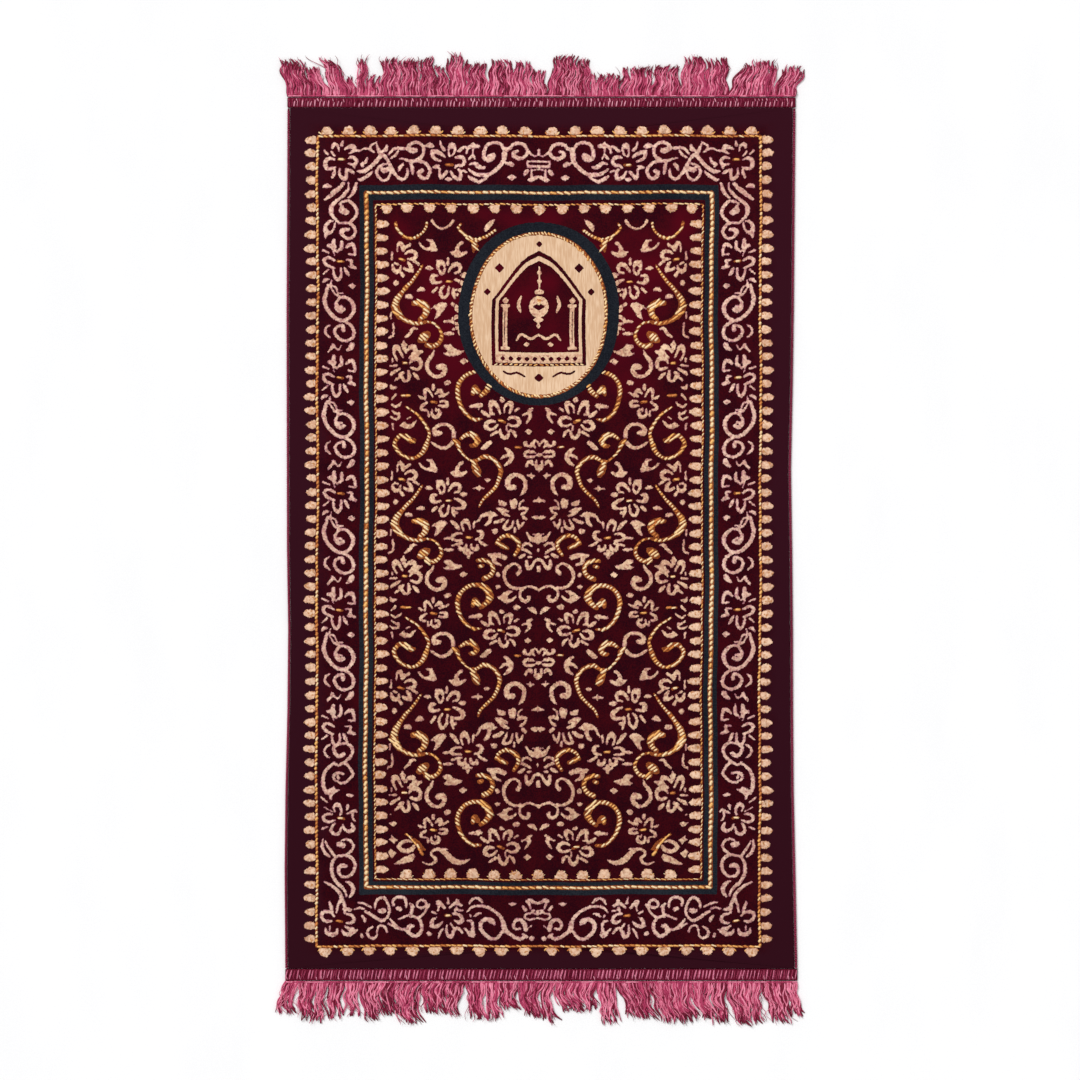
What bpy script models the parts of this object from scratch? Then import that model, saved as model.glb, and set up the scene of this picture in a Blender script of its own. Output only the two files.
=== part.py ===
"""A flat-woven velvet prayer rug with serged edges and a yarn fringe at both ends.

The rug lies flat on Z = 0 with its pile up. +Y points to the niche end and +X to the right of
someone who looks down on it. The origin is the centre of the cloth's underside. Metres.
"""

import math
import random
from collections import namedtuple

import bmesh
import bpy

MM = 0.001

# Driving dimensions of the cloth
RUG_LENGTH = 1.213
CLOTH_THICKNESS = 0.0042
PILE_EDGE_ROUNDING = 0.0009
PIECE_GAP = 0.0003

# Serged side edges: a cord of thread along each long side
SELVEDGE_WIDTH = 0.0042
SELVEDGE_HEIGHT = 0.0040
SELVEDGE_SIDES = 8

# Overlocked bands that close both ends, with their slanted whip stitches
TOP_BAND_WIDTH = 0.0144
BOTTOM_BAND_WIDTH = 0.0165
BAND_HEIGHT = 0.0040
BAND_EDGE_HEIGHT = 0.0026
STITCH_PITCH = 0.0065
STITCH_RISE = 0.0006
STITCH_SLANT = 0.0013
BAND_INNER_CREST = 0.28
BAND_OUTER_CREST = 0.68
OUTER_EDGE_DROP = 0.7

# Fringe: a chain-stitched heading and the strands that leave it
HEADING_WIDTH = 0.0030
HEADING_HEIGHT = 0.0026
STRAND_PITCH = 0.0048
STRAND_FILL = 0.80
STRAND_TAPER = 0.32
STRAND_TIP_HEIGHT = 0.0013
STRAND_SEGMENTS = 3
STRAND_SWAY = 0.0014
SWAY_LENGTH = 0.047
SWAY_DRIFT = 9.0
EARLY_LEAN = 0.55
SHORTEST_STRAND = 0.74
FRINGE_SEED = 11

PILE_COLOUR = (0.055, 0.008, 0.020, 1.0)
SERGING_COLOUR = (0.290, 0.035, 0.110, 1.0)
FRINGE_COLOUR = (0.420, 0.060, 0.190, 1.0)

# The cloth's long edges bow a little. Each row is one place along the rug, all in millimetres.
EdgeStation = namedtuple("EdgeStation", "along left right")
EDGE_STATIONS = (
    EdgeStation(606.5, -349.3, 349.3),
    EdgeStation(480.0, -349.6, 348.2),
    EdgeStation(314.0, -350.6, 346.8),
    EdgeStation(205.0, -350.4, 345.2),
    EdgeStation(95.0, -350.2, 342.9),
    EdgeStation(-15.0, -350.0, 344.6),
    EdgeStation(-125.0, -348.3, 345.6),
    EdgeStation(-235.0, -349.4, 345.8),
    EdgeStation(-345.0, -352.0, 346.6),
    EdgeStation(-455.0, -353.2, 349.0),
    EdgeStation(-606.5, -352.2, 351.8),
)

# Tufts of the fringe, left to right in millimetres: the stretch of heading that a tuft grows
# from, where its tips gather, half the width they gather to, and how far the longest reaches.
Tuft = namedtuple("Tuft", "root_from root_to tip_centre tip_half reach")
TOP_TUFTS = (
    Tuft(-349, -336, -357, 6, 53),
    Tuft(-336, -315, -341, 8, 54),
    Tuft(-315, -290, -320, 9, 43),
    Tuft(-290, -263, -297, 8, 56),
    Tuft(-263, -253, -268, 5, 30),
    Tuft(-253, -240, -246, 4, 58),
    Tuft(-240, -222, -229, 8, 32),
    Tuft(-222, -194, -204, 11, 56),
    Tuft(-194, -167, -179, 10, 54),
    Tuft(-167, -143, -156, 8, 57),
    Tuft(-143, -126, -138, 7, 45),
    Tuft(-126, -106, -118, 7, 62),
    Tuft(-106, -73, -90, 14, 49),
    Tuft(-73, -40, -57, 13, 54),
    Tuft(-40, -10, -27, 11, 50),
    Tuft(-10, 7, -4, 5, 38),
    Tuft(7, 42, 34, 10, 59),
    Tuft(42, 67, 57, 8, 55),
    Tuft(67, 108, 90, 17, 34),
    Tuft(108, 149, 134, 17, 43),
    Tuft(149, 190, 173, 15, 45),
    Tuft(190, 224, 211, 13, 58),
    Tuft(224, 256, 242, 12, 56),
    Tuft(256, 280, 286, 8, 46),
    Tuft(280, 320, 313, 13, 52),
    Tuft(320, 349, 349, 12, 45),
)
BOTTOM_TUFTS = (
    Tuft(-352, -331, -350, 9, 47),
    Tuft(-331, -307, -323, 8, 55),
    Tuft(-307, -293, -308, 5, 60),
    Tuft(-293, -270, -287, 8, 54),
    Tuft(-270, -249, -258, 10, 50),
    Tuft(-249, -216, -230, 12, 56),
    Tuft(-216, -197, -205, 9, 50),
    Tuft(-197, -161, -179, 12, 60),
    Tuft(-161, -126, -145, 13, 47),
    Tuft(-126, -104, -122, 7, 50),
    Tuft(-104, -76, -89, 11, 55),
    Tuft(-76, -57, -66, 6, 57),
    Tuft(-57, -30, -41, 11, 41),
    Tuft(-30, 5, -7, 11, 52),
    Tuft(5, 20, 15, 5, 61),
    Tuft(20, 78, 54, 26, 44),
    Tuft(78, 101, 98, 9, 61),
    Tuft(101, 146, 140, 19, 54),
    Tuft(146, 204, 190, 24, 60),
    Tuft(204, 234, 232, 11, 54),
    Tuft(234, 256, 254, 8, 61),
    Tuft(256, 303, 287, 18, 62),
    Tuft(303, 336, 331, 12, 60),
    Tuft(336, 351, 354, 6, 51),
)

HALF_LENGTH = RUG_LENGTH / 2
CLOTH_TOP_END = HALF_LENGTH - TOP_BAND_WIDTH - PIECE_GAP
CLOTH_BOTTOM_END = -HALF_LENGTH + BOTTOM_BAND_WIDTH + PIECE_GAP


def clear_scene():
    """Remove every object, so that the scene holds this rug alone."""
    for old in list(bpy.data.objects):
        bpy.data.objects.remove(old, do_unlink=True)


def textile(name, colour, roughness):
    """A plain woven finish of one colour."""
    material = bpy.data.materials.new(name)
    material.use_nodes = True
    shader = material.node_tree.nodes["Principled BSDF"]
    shader.inputs["Base Color"].default_value = colour
    shader.inputs["Roughness"].default_value = roughness
    shader.inputs["Metallic"].default_value = 0.0
    material.diffuse_color = colour
    return material


def add_object(name, mesh_data, material):
    """Turn a finished bmesh into an object with its faces pointing out."""
    bmesh.ops.recalc_face_normals(mesh_data, faces=mesh_data.faces)
    mesh = bpy.data.meshes.new(name)
    mesh_data.to_mesh(mesh)
    mesh_data.free()
    mesh.materials.append(material)
    made = bpy.data.objects.new(name, mesh)
    bpy.context.scene.collection.objects.link(made)
    return made


def edges_at(along):
    """X of the rug's left and right edge at a place along it, on a smooth line."""
    rows = EDGE_STATIONS
    here = min(max(along / MM, rows[-1].along), rows[0].along)
    for upper, lower in zip(rows, rows[1:]):
        if here >= lower.along:
            share = (upper.along - here) / (upper.along - lower.along)
            eased = share * share * (3 - 2 * share)
            left = upper.left + (lower.left - upper.left) * eased
            right = upper.right + (lower.right - upper.right) * eased
            return left * MM, right * MM
    return rows[-1].left * MM, rows[-1].right * MM


def stations_between(top, bottom):
    """Places along the rug from top to bottom where its side edges need a point."""
    inner = [row.along * MM for row in EDGE_STATIONS if bottom < row.along * MM < top]
    return [top, *inner, bottom]


def bridge_rings(mesh_data, rings):
    """Join rings of the same number of points into one closed solid with flat ends."""
    loops = [[mesh_data.verts.new(point) for point in ring] for ring in rings]
    count = len(loops[0])
    for near, far in zip(loops, loops[1:]):
        for k in range(count):
            after = (k + 1) % count
            mesh_data.faces.new((near[k], near[after], far[after], far[k]))
    mesh_data.faces.new(loops[0])
    mesh_data.faces.new(reversed(loops[-1]))


def build_cloth(material):
    """The woven pile cloth: one flat slab with the photo's bowed sides and a rounded pile edge."""
    inset = SELVEDGE_WIDTH + PIECE_GAP
    stations = stations_between(CLOTH_TOP_END, CLOTH_BOTTOM_END)
    left = [(edges_at(y)[0] + inset, y) for y in stations]
    right = [(edges_at(y)[1] - inset, y) for y in reversed(stations)]
    outline = left + right
    mesh_data = bmesh.new()
    base = mesh_data.faces.new([mesh_data.verts.new((x, y, 0.0)) for x, y in outline])
    raised = bmesh.ops.extrude_face_region(mesh_data, geom=[base])["geom"]
    top_verts = [item for item in raised if isinstance(item, bmesh.types.BMVert)]
    bmesh.ops.translate(mesh_data, verts=top_verts, vec=(0.0, 0.0, CLOTH_THICKNESS))
    top_edges = [edge for edge in mesh_data.edges if all(v.co.z > 0 for v in edge.verts)]
    bmesh.ops.bevel(mesh_data, geom=top_edges, offset=PILE_EDGE_ROUNDING, segments=2,
                    profile=0.5, affect="EDGES")
    return add_object("rug_cloth", mesh_data, material)


def build_selvedge(name, side, material):
    """A serged cord beside one long edge, an oval that is flat where it lies on the floor."""
    half_width = SELVEDGE_WIDTH / 2
    half_height = SELVEDGE_HEIGHT / 2
    rings = []
    for y in stations_between(CLOTH_TOP_END, CLOTH_BOTTOM_END):
        centre = edges_at(y)[0] + half_width if side < 0 else edges_at(y)[1] - half_width
        ring = []
        for k in range(SELVEDGE_SIDES):
            turn = 2 * math.pi * (k + 0.5) / SELVEDGE_SIDES
            scale = 1 / math.cos(math.pi / SELVEDGE_SIDES)
            x = centre + half_width * scale * math.cos(turn)
            z = half_height * (1 + scale * math.sin(turn))
            ring.append((x, y, z))
        rings.append(ring)
    mesh_data = bmesh.new()
    bridge_rings(mesh_data, rings)
    return add_object(name, mesh_data, material)


def build_band(name, end, width, material):
    """An overlocked end: a low rounded strip with one slanted ridge for each whip stitch."""
    outer = end * HALF_LENGTH
    inner = end * (HALF_LENGTH - width)
    left, right = edges_at(outer)
    stitches = round((right - left) / STITCH_PITCH)
    columns = 2 * stitches
    rings = []
    for column in range(columns + 1):
        x = left + (right - left) * column / columns
        at_end = column in (0, columns)
        lean = 0.0 if at_end else end * STITCH_SLANT
        rise = STITCH_RISE if column % 2 else -STITCH_RISE / 2
        rings.append((
            (x, outer, 0.0),
            (x, inner, 0.0),
            (x - lean, inner, BAND_EDGE_HEIGHT + rise),
            (x - lean / 2, inner + (outer - inner) * BAND_INNER_CREST, BAND_HEIGHT + rise),
            (x + lean / 2, inner + (outer - inner) * BAND_OUTER_CREST, BAND_HEIGHT + rise),
            (x + lean, outer, BAND_EDGE_HEIGHT * OUTER_EDGE_DROP),
        ))
    mesh_data = bmesh.new()
    bridge_rings(mesh_data, rings)
    return add_object(name, mesh_data, material)


def tuft_at(tufts, x):
    """The tuft whose stretch of heading holds x."""
    for tuft in tufts:
        if x <= tuft.root_to * MM:
            return tuft
    return tufts[-1]


def strand_section(tuft, root, pitch, out):
    """X and width of a strand at a distance out from the heading.

    The strands of a tuft gather towards its tips, and each fills the same share of its own room.
    """
    middle = (tuft.root_from + tuft.root_to) / 2 * MM
    half = (tuft.root_to - tuft.root_from) / 2 * MM
    gather = tuft.tip_half * MM / half
    tip = tuft.tip_centre * MM + (root - middle) * gather
    share = out / (tuft.reach * MM)
    eased = share * (EARLY_LEAN + (1 - EARLY_LEAN) * share)
    wave = math.sin(2 * math.pi * out / SWAY_LENGTH + SWAY_DRIFT * root)
    sway = STRAND_SWAY * wave * min(1, STRAND_SEGMENTS * share)
    room = pitch * (1 + (min(gather, 1) - 1) * eased)
    return root + (tip - root) * eased + sway, room * STRAND_FILL * (1 - STRAND_TAPER * share)


def build_fringe(name, end, tufts, material):
    """One end's fringe: a heading strip with every strand grown from its outer side.

    A strand is a three-sided yarn that rests on its flat side, so it lies level on the floor.
    """
    start = end * (HALF_LENGTH + PIECE_GAP)
    front = end * (HALF_LENGTH + PIECE_GAP + HEADING_WIDTH)
    left, right = edges_at(end * HALF_LENGTH)
    count = round((right - left) / STRAND_PITCH)
    pitch = (right - left) / count
    scatter = random.Random(FRINGE_SEED)
    mesh_data = bmesh.new()

    def corner_column(x):
        """The four corners of the heading's cross-section at one of its ends."""
        return [mesh_data.verts.new(point) for point in (
            (x, start, 0.0), (x, start, HEADING_HEIGHT), (x, front, HEADING_HEIGHT), (x, front, 0.0))]

    first = corner_column(left)
    mesh_data.faces.new(first)
    back_low, back_high, apex, base_right = first
    for index in range(count):
        root = left + pitch * (index + 0.5)
        tuft = tuft_at(tufts, root)
        length_share = scatter.uniform(SHORTEST_STRAND, 1)
        low = mesh_data.verts.new((root, start, 0.0))
        high = mesh_data.verts.new((root, start, HEADING_HEIGHT))
        root_half = pitch * STRAND_FILL / 2
        ring = [mesh_data.verts.new(point) for point in (
            (root - root_half, front, 0.0), (root + root_half, front, 0.0), (root, front, HEADING_HEIGHT))]
        mesh_data.faces.new((back_high, high, ring[2], apex))
        mesh_data.faces.new((back_low, low, high, back_high))
        mesh_data.faces.new((base_right, ring[0], low, back_low))
        mesh_data.faces.new((ring[0], ring[1], low))
        mesh_data.faces.new((base_right, ring[0], ring[2], apex))
        back_low, back_high, apex, base_right = low, high, ring[2], ring[1]
        for step in range(1, STRAND_SEGMENTS + 1):
            out = (tuft.reach * MM - HEADING_WIDTH) * min(step / STRAND_SEGMENTS, length_share)
            x, width = strand_section(tuft, root, pitch, out)
            y = front + end * out
            height = HEADING_HEIGHT + (STRAND_TIP_HEIGHT - HEADING_HEIGHT) * step / STRAND_SEGMENTS
            following = [mesh_data.verts.new(point) for point in (
                (x - width / 2, y, 0.0), (x + width / 2, y, 0.0), (x, y, height))]
            for k in range(3):
                after = (k + 1) % 3
                mesh_data.faces.new((ring[k], ring[after], following[after], following[k]))
            ring = following
        mesh_data.faces.new(ring)
    last = corner_column(right)
    mesh_data.faces.new(last)
    mesh_data.faces.new((back_high, last[1], last[2], apex))
    mesh_data.faces.new((back_low, last[0], last[1], back_high))
    mesh_data.faces.new((base_right, last[3], last[0], back_low))
    mesh_data.faces.new((base_right, last[3], last[2], apex))
    return add_object(name, mesh_data, material)


def build_rug():
    """Make every piece of the rug."""
    pile = textile("velvet_pile", PILE_COLOUR, 0.9)
    serging = textile("serging_thread", SERGING_COLOUR, 0.8)
    yarn = textile("fringe_yarn", FRINGE_COLOUR, 0.75)
    build_cloth(pile)
    build_selvedge("selvedge_left", -1, serging)
    build_selvedge("selvedge_right", 1, serging)
    build_band("end_binding_top", 1, TOP_BAND_WIDTH, serging)
    build_band("end_binding_bottom", -1, BOTTOM_BAND_WIDTH, serging)
    build_fringe("fringe_top", 1, TOP_TUFTS, yarn)
    build_fringe("fringe_bottom", -1, BOTTOM_TUFTS, yarn)


clear_scene()
build_rug()
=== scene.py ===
"""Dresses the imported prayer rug: velvet pile in its knotted pattern, gold thread, serging and fringe.

The pattern is kept the way a weaver keeps it, as a chart of knots. Columns are counted in knots
from the rug's middle line and rows in knots down the warp, and every motif is drawn on that
chart with strokes. One half is charted, and the other half mirrors it. Metres elsewhere.
"""

import itertools
import logging
import math
import random
from collections.abc import Iterator
from dataclasses import dataclass, field
from enum import Enum, IntEnum

import bpy
import numpy as np
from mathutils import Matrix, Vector
from mathutils.geometry import delaunay_2d_cdt


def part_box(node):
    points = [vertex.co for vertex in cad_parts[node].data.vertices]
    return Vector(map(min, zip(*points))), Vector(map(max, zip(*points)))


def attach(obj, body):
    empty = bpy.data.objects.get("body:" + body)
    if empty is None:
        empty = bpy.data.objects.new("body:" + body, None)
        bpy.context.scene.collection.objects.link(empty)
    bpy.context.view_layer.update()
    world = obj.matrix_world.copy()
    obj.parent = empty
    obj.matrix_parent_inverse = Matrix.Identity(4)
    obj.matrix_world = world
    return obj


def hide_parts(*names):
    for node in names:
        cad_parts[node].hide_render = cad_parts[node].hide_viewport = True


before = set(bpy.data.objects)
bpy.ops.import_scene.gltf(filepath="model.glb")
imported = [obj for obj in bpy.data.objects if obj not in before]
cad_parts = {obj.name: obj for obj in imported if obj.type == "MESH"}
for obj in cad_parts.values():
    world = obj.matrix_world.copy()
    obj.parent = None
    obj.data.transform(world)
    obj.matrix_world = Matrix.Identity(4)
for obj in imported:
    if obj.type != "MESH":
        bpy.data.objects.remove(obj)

LOG = logging.getLogger("prayer_rug")
MM = 0.001
# How far above the floor every loose thread stays.
FLOOR_GAP = 0.0001

Array = np.ndarray
Socket = bpy.types.NodeSocket
Pair = tuple[float, float]
# A point of a stroke on the chart: column, row and the stroke's width there, all in knots.
Knot = tuple[float, float, float]
Colour = tuple[float, float, float]


class Thread(IntEnum):
    """The threads of the pile, numbered as the cloth's material slots."""

    GROUND = 0
    BEIGE = 1
    SLATE = 2
    CREAM = 3
    GOLD = 4
    BACKING = 5
    # The motifs' rim: painted shade on its sloped edge, partly a blend with the ground's colour.
    WORN = 6
    TOOTH = 7


# One repeat of the field, left half. Semicolons part the marks. A mark is a stroke through points,
# each column,row,width. After "fill" the points are the corners of a straight-sided shape, and
# "hole" starts a stroke of ground.
FIELD_BLOSSOMS = """
142,472,2 141.5,465,2.4 139.5,462.8,3; 139,463,3 136.8,467,5 136,470.5,4.4; 134,468.5,3 129.5,465.5,3.4;
134,474.5,2.4 130,472.2,3.2 125.5,472.5,4.2 123.2,476,4.6 125.5,479.5,3.6 131.5,480,2.4; 125.5,482,3.6
121,485,2.6; 131.5,483,2.6 128.8,487,4.4 127.5,491.5,3.4; 128,490.5,4 132,490.5,3.4 135.5,488.5,3;
147,485,2.4 146,489.5,4 143,491.5,4.4 140,490,3.6 139,486.5,2.4; 144.5,483.5,2.6 141.5,484.5,2.4; 139,492,2.4
136.8,495.5,4; 147.5,472,2 147.5,480,2.4; fill 103.5,480 95.8,480 96,486 99,486 100,489 102,491 103.8,489;
91.3,479,3 91.5,484,3.6; 96,483,3 94.8,488,2.6 96,492.5,3 98.5,494,2.6 100,491,3; 78.5,494.5,3 75.5,494.8,5
73,494.5,3; 91,491.5,2.6 88.5,487.5,3.4 85,484.8,4.4 80.8,484.8,4.4 79.3,488,4 80.5,492,2.6; 80.5,491.5,2.2
85,493,2.2; 102.5,495.5,2.6 106.5,495.5,4 107.5,499,5.5 106,502.5,3.6 99,501.5,2.8; 103,507.5,3 105,509.5,3
107,511.5,3; 95.5,505,2.4 99,509,3 98.5,513.5,3.8 96.2,516.5,3 92,513.5,3.2 90.8,506,2.6; 86.5,508.5,3.4
86.5,512.5,3.4 84.5,517,2; 86,512.5,3 82.5,513,3; 84.5,499,2.6 79.5,501,3.8 75,505,5 77,508.5,3.6
83.5,508.5,2.6; 75,531.5,2 77,524.5,3.2 73.5,521.5,5.4 70,524.5,3.2 68.8,530,2; 64.5,522,2.4 65.3,528,2.4;
61,531.5,2.6 57.8,532,3.6 56,535.5,4.4 58.5,539,3.6 63,540,2.6; 59,542,2.6 54.5,545,3.4 50.5,546,2;
67,545,2.4 66,549,3.6 61.3,549.5,4.4 61,545.5,2.4; 79,546,3 78,549.5,4.4 73.5,549.5,4 72,545,2.4;
70,551.5,4.4 70,555,4.4 70,559,1.8; 74.5,553.5,2.4 66,553.5,2.4; 86,546,2.4 80.5,544.2,2.8 76,543.8,2.4;
77,534.2,2.6 82,534,3 85.8,536.5,3.8 85,540,3 77,540.5,2.6; 87.5,521.7,3 84,524,4 81.5,527.5,4
79.5,529.5,2.6; fill 29.5,498.5 28,500 25,497.5 22,499 21.5,504 23,508.5 28,508.5 30,504; fill 41,499.5
38,500.5 32.5,502 32,505.5 35,506.5 40,506 41,503; 20,506,2 18.8,502,2.2 15.5,500,2.2; 20,508.5,3
16,507.5,3.4 12,508,3; 12.5,508,2.6 13,511,2.6 17.5,514,3; 15.5,517,3.4 12.8,518.5,3.4; 42,508.5,3
38,510.5,4.6 35,514,3.6 30,515.8,2.4; 37,509.5,4 31,511.5,2.6; 44,522.8,3.4 39.5,521.5,3.8 35.5,519.5,3;
31,520,2.4 33,524,3 35,528,3.4 31,529,3.4 27,526,2.8 25.5,521,2.4; 24,527.5,2.8 24,532,2.6; 21.5,520,2.4
20.5,525,3.2 17.5,525.5,3 15.5,522,2.6; 20,527,2.6 19.5,528.5,2.4; 14.5,442.3,4.4 14.5,444,4.4; 13,445.3,2.6
9,445.5,3.4 7.5,443,4 4.5,439.7,2.6; 7,444,3 4.5,447,2.4; 2.5,441,2.4 0,445,2.4; fill 16.8,453 15,450 11,449
5,450 2.6,453 3,456.3 6,458.2 12,458.2 15.5,456.8; hole 12.3,453.9,1.7 4.4,454,1.7; 2,454.5,3 0,454.5,3;
13,465.5,3.4 11,461.5,3 8,461.5,4.4 6.5,464,2.4; 3,460.5,2.8 3.3,465,3.4 2,468,3.6 0,467.5,4; 0,466,4
0,471,2.2; 105.5,599,4 105.5,601.5,4; 113.5,612,2 113.7,604,3.6 111.5,602,3 108.5,605,2.6 106,609,2.2;
120,608.5,2 117,610.5,3.4; 112,614,2.4 117,617.5,3.6 117.5,620.5,3 113,621,2.6; 111,622,2 110.5,626,3;
103.5,619.5,2 103,622,2; 107,620.5,2.2 107,625,3 103,627.3,4 99.5,624,4 100.5,620.5,2.4; 103.5,606.3,2
99,603.5,5 96,606.3,2.6; 98.5,613.2,2.2 94.5,612.7,3 91.7,614.7,4 93,617.3,3.6 99.5,617,2.6; 99,608.3,3
97.5,608.3,2.6; 95.5,608,2.4 90.5,605,2.4; 135,557,1.8 135,562.5,4.6 133,567.5,2.6; 137,560.5,2.4
132.6,561,2.4; 149,579,2.2 142,578.7,2.4; 142,574,2.2 145,567.5,3.2 143.5,563,5.6 140.5,563.5,4.4 138.5,567,3
136,571.5,2.2; 132,566.5,2 129,563.5,4 125.5,563,5.4 123.5,566,4.4 126,570,4 130,572.5,2.2; 122,571,2.4
120.5,568,4 116.5,567,2.2; 129,577,2.2 126.5,573.5,3.6 121.5,573,4.4 118.3,576,4.4 118.5,580.5,4 122,583,3.6
128,581.3,2.6; 125.5,587,2.6 122.5,590,4.2 120.5,592.5,2.8; 140,591,3 143.5,593.5,2.6; 147.5,587.5,3.2
145,585.3,4 139,582.2,2.4; 130.5,584.5,2.8 129.5,590,4 130.5,594,3.4 134,594.5,3.2 136.5,591,4 138.5,588.3,5
135.5,586,3; 146.7,573,2.4 146.7,575.5,2.2; 48.5,624,3.2 48.5,614,4 44.5,614.7,5 41.5,618,3.4 39,623.5,2.4;
48.5,624,3 45,624.5,2.2; 37.5,611.3,4.6 36,611.8,4; 35,622.5,2.2 34.5,618,2.4 32,615.3,3.6 28,614.7,4.4
27.7,618,4 29.5,623,3; 24,621,2.8 20.5,618.5,2.4; 31.5,628.5,2.4 27,626.7,3.4 22.5,627.7,4.2 20.2,631,4.4
22.5,634.3,3.6 27,635,3 32,633.3,2.4; 33.2,635,2 33.2,639,2.4; 29.5,639,2.4 25.8,641.5,3.6 24.3,645,3.2;
39.8,638.5,2.4 38.8,644,3.8 35.5,647,4 32.2,645.3,3.6 31.5,641,2.4; 43,641.5,3.4 49,645,2.6; 57.5,621.7,2.6
54,624.3,4 50,626.3,2.6; 44.5,631.5,2.6 49,630.7,3.6 53,633,4.6 53.5,637,4.4 49.5,639,3.4 45,637.5,3
42,634,2.4; fill 0,532 3.5,533.5 5.5,532.5 8,535 9,538.5 6,542.5 2.5,542.5 0,545; 12,531.8,2.4 9.5,536,3
7.5,539.5,3.4; hole 5.8,535.3,1.6 4.6,535.8,1.4; 17.5,546.8,3.4 14,543.5,3 10,542.8,2.8 6.5,545.5,2.4;
18,548,3 12,550,3.4 7.5,553,2.4; 19,557,3 16,555.5,4 13.5,554,2.6; 10,556.8,2.8 6.5,556.5,2; 1.5,566,2.4
1.5,571,2.4; 0,549,2.6 0,551,2.6; 12,560.5,3 12,565,4 10,568.3,4 6.5,565.5,3.4 4,560.5,3 0,559,3.4
"""
FIELD_LEAVES = """
fill 122,463 119,463 117,466 113,468.5 110,467.5 109.5,463 113,461.5 113.5,459.5 107,459.5 104,464 101.5,470
102,473 108,472.5 114,471.5 118.5,468.5; fill 76,460.5 80,462 84,467 85,471 90,471.5 88,475 84,478 79,478
74,475.5 71,471.5 74,471 78,472.5 80,470 79,466 75.5,464.5; 104,433.5,7.4 99.5,433.5,5; 106.5,431,4
103,427,4.4 98,424.8,4 92,425,4 87.5,429,4.4 86,435,4.6 87.5,443,4.6 95,448.5,4 102,447,3.6 108,443,3; fill
60,449 57,450.7 53,449.8 50,446.3 47,443.3 49,440.3 53,441.8 56.5,445; 34.5,448.5,2.8 31,451,4.8 28,456,5.6
29.5,461.5,5 34.5,465.7,2.6; 39,459.5,2.2 35,456.3,3.6 30,455,4.4; 25,487,6 30,487,6.6 31.5,481.5,6.4
28.5,476.5,5.6 23,474.5,5 17.5,476.5,5 14,481,5 14,487,5 15.5,491,4.4 19,495,2; fill 58,518 57.5,514 54,512.5
49,511.3 45,512 43,514.3 40,515.5 42,517 46,517.5 47,520 50,521.5 51.5,517.5 54,517.5; 48.5,520,4.4
51,524,4.4 53.5,525.5,2.6; 58,516.5,3.4 59.5,520,3 62,522.5,2.2; fill 110.5,528.5 104,523 98,520.3 92,521.5
91.3,524.5 93.5,525.5 95,528 97,531 100,535 105.5,538 103.5,533 102.5,528 105,526.8; 133,553.5,3 128.5,550,4
126,546,4 121.5,546,2; fill 95,560.4 88,559.4 84.7,563.3 79.7,565 74.3,565.8 78,568.7 83,570.4 91.3,570.4
99.7,567.5 93,567.5 91.3,565.4 95,563.3; 50,555,3 46.5,556,5.6 40,555.5,5.6 33.5,557.5,5.4; 45,558,5.4
43.5,562.5,4.6 37.5,565.3,2.4; 21,573,5 19,571.5,4 18.8,567,3.4 22,564,3 26,564,3.4 31,567,4 34.3,572,4.4
34.3,579,4 30.5,585,4 24,588,3.6 17.5,587.5,3; 0,590.3,3.2 3,588,3 10.5,585.8,3 16,588.3,3.2 19.2,592,3
18.8,597,3.4 15.5,600.3,4 11.5,600.3,4.4 9.5,597,4 11.5,595.8,2.6; fill 43,597 38.2,595.5 35.2,591.8
30.5,589.8 26,590.3 26,592.3 29.8,593.8 31.3,596.5 29.8,598.8 25.2,596.8 22.8,594 21.8,597 25.2,600.6
29,602.6 32.8,603.8 36.7,601.5; 69,617.5,3 63,616.7,4 59.5,616.3,5.4 57.5,616.5,4; 60,618,2.4 60.5,620,2;
6.5,619,2.6 10,620.8,4.6 9.3,626,4 13.5,632,2.2; 17,624.5,2.4 12,623,3; 105,566,2.4 107,570.5,4 111,575,4.4
112,581,4.6 109,586.5,4.4 103,590,4 97,588.5,4.8 94,583.5,5.6 96,579.8,6.6 100.5,580.5,6; fill 141,635.3
136.3,632 134,629.8 133.5,633 129,634 125.5,631 122,629.8 125,635.5 129,639 134,639 137.5,637;
128.5,627.3,2.2 132.5,629.3,2.2; 145.5,540,2.4 145.5,551,2.8 150,553.5,3; 148,530,2.4 148,536,2.4;
148,598,2.4 146.5,601,4 142.5,600.5,2.4; 143,607,3.4 147,611,2.4; 147,615.5,2.4 143.5,618,3 140,616.5,3
137,614,2; 147,621,2 143,624,3 140,624.5,3; 149,626.5,2 144.5,629,3 140.5,628,3.4 140,624,3; 147,633,3
146,640,2
"""
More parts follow.
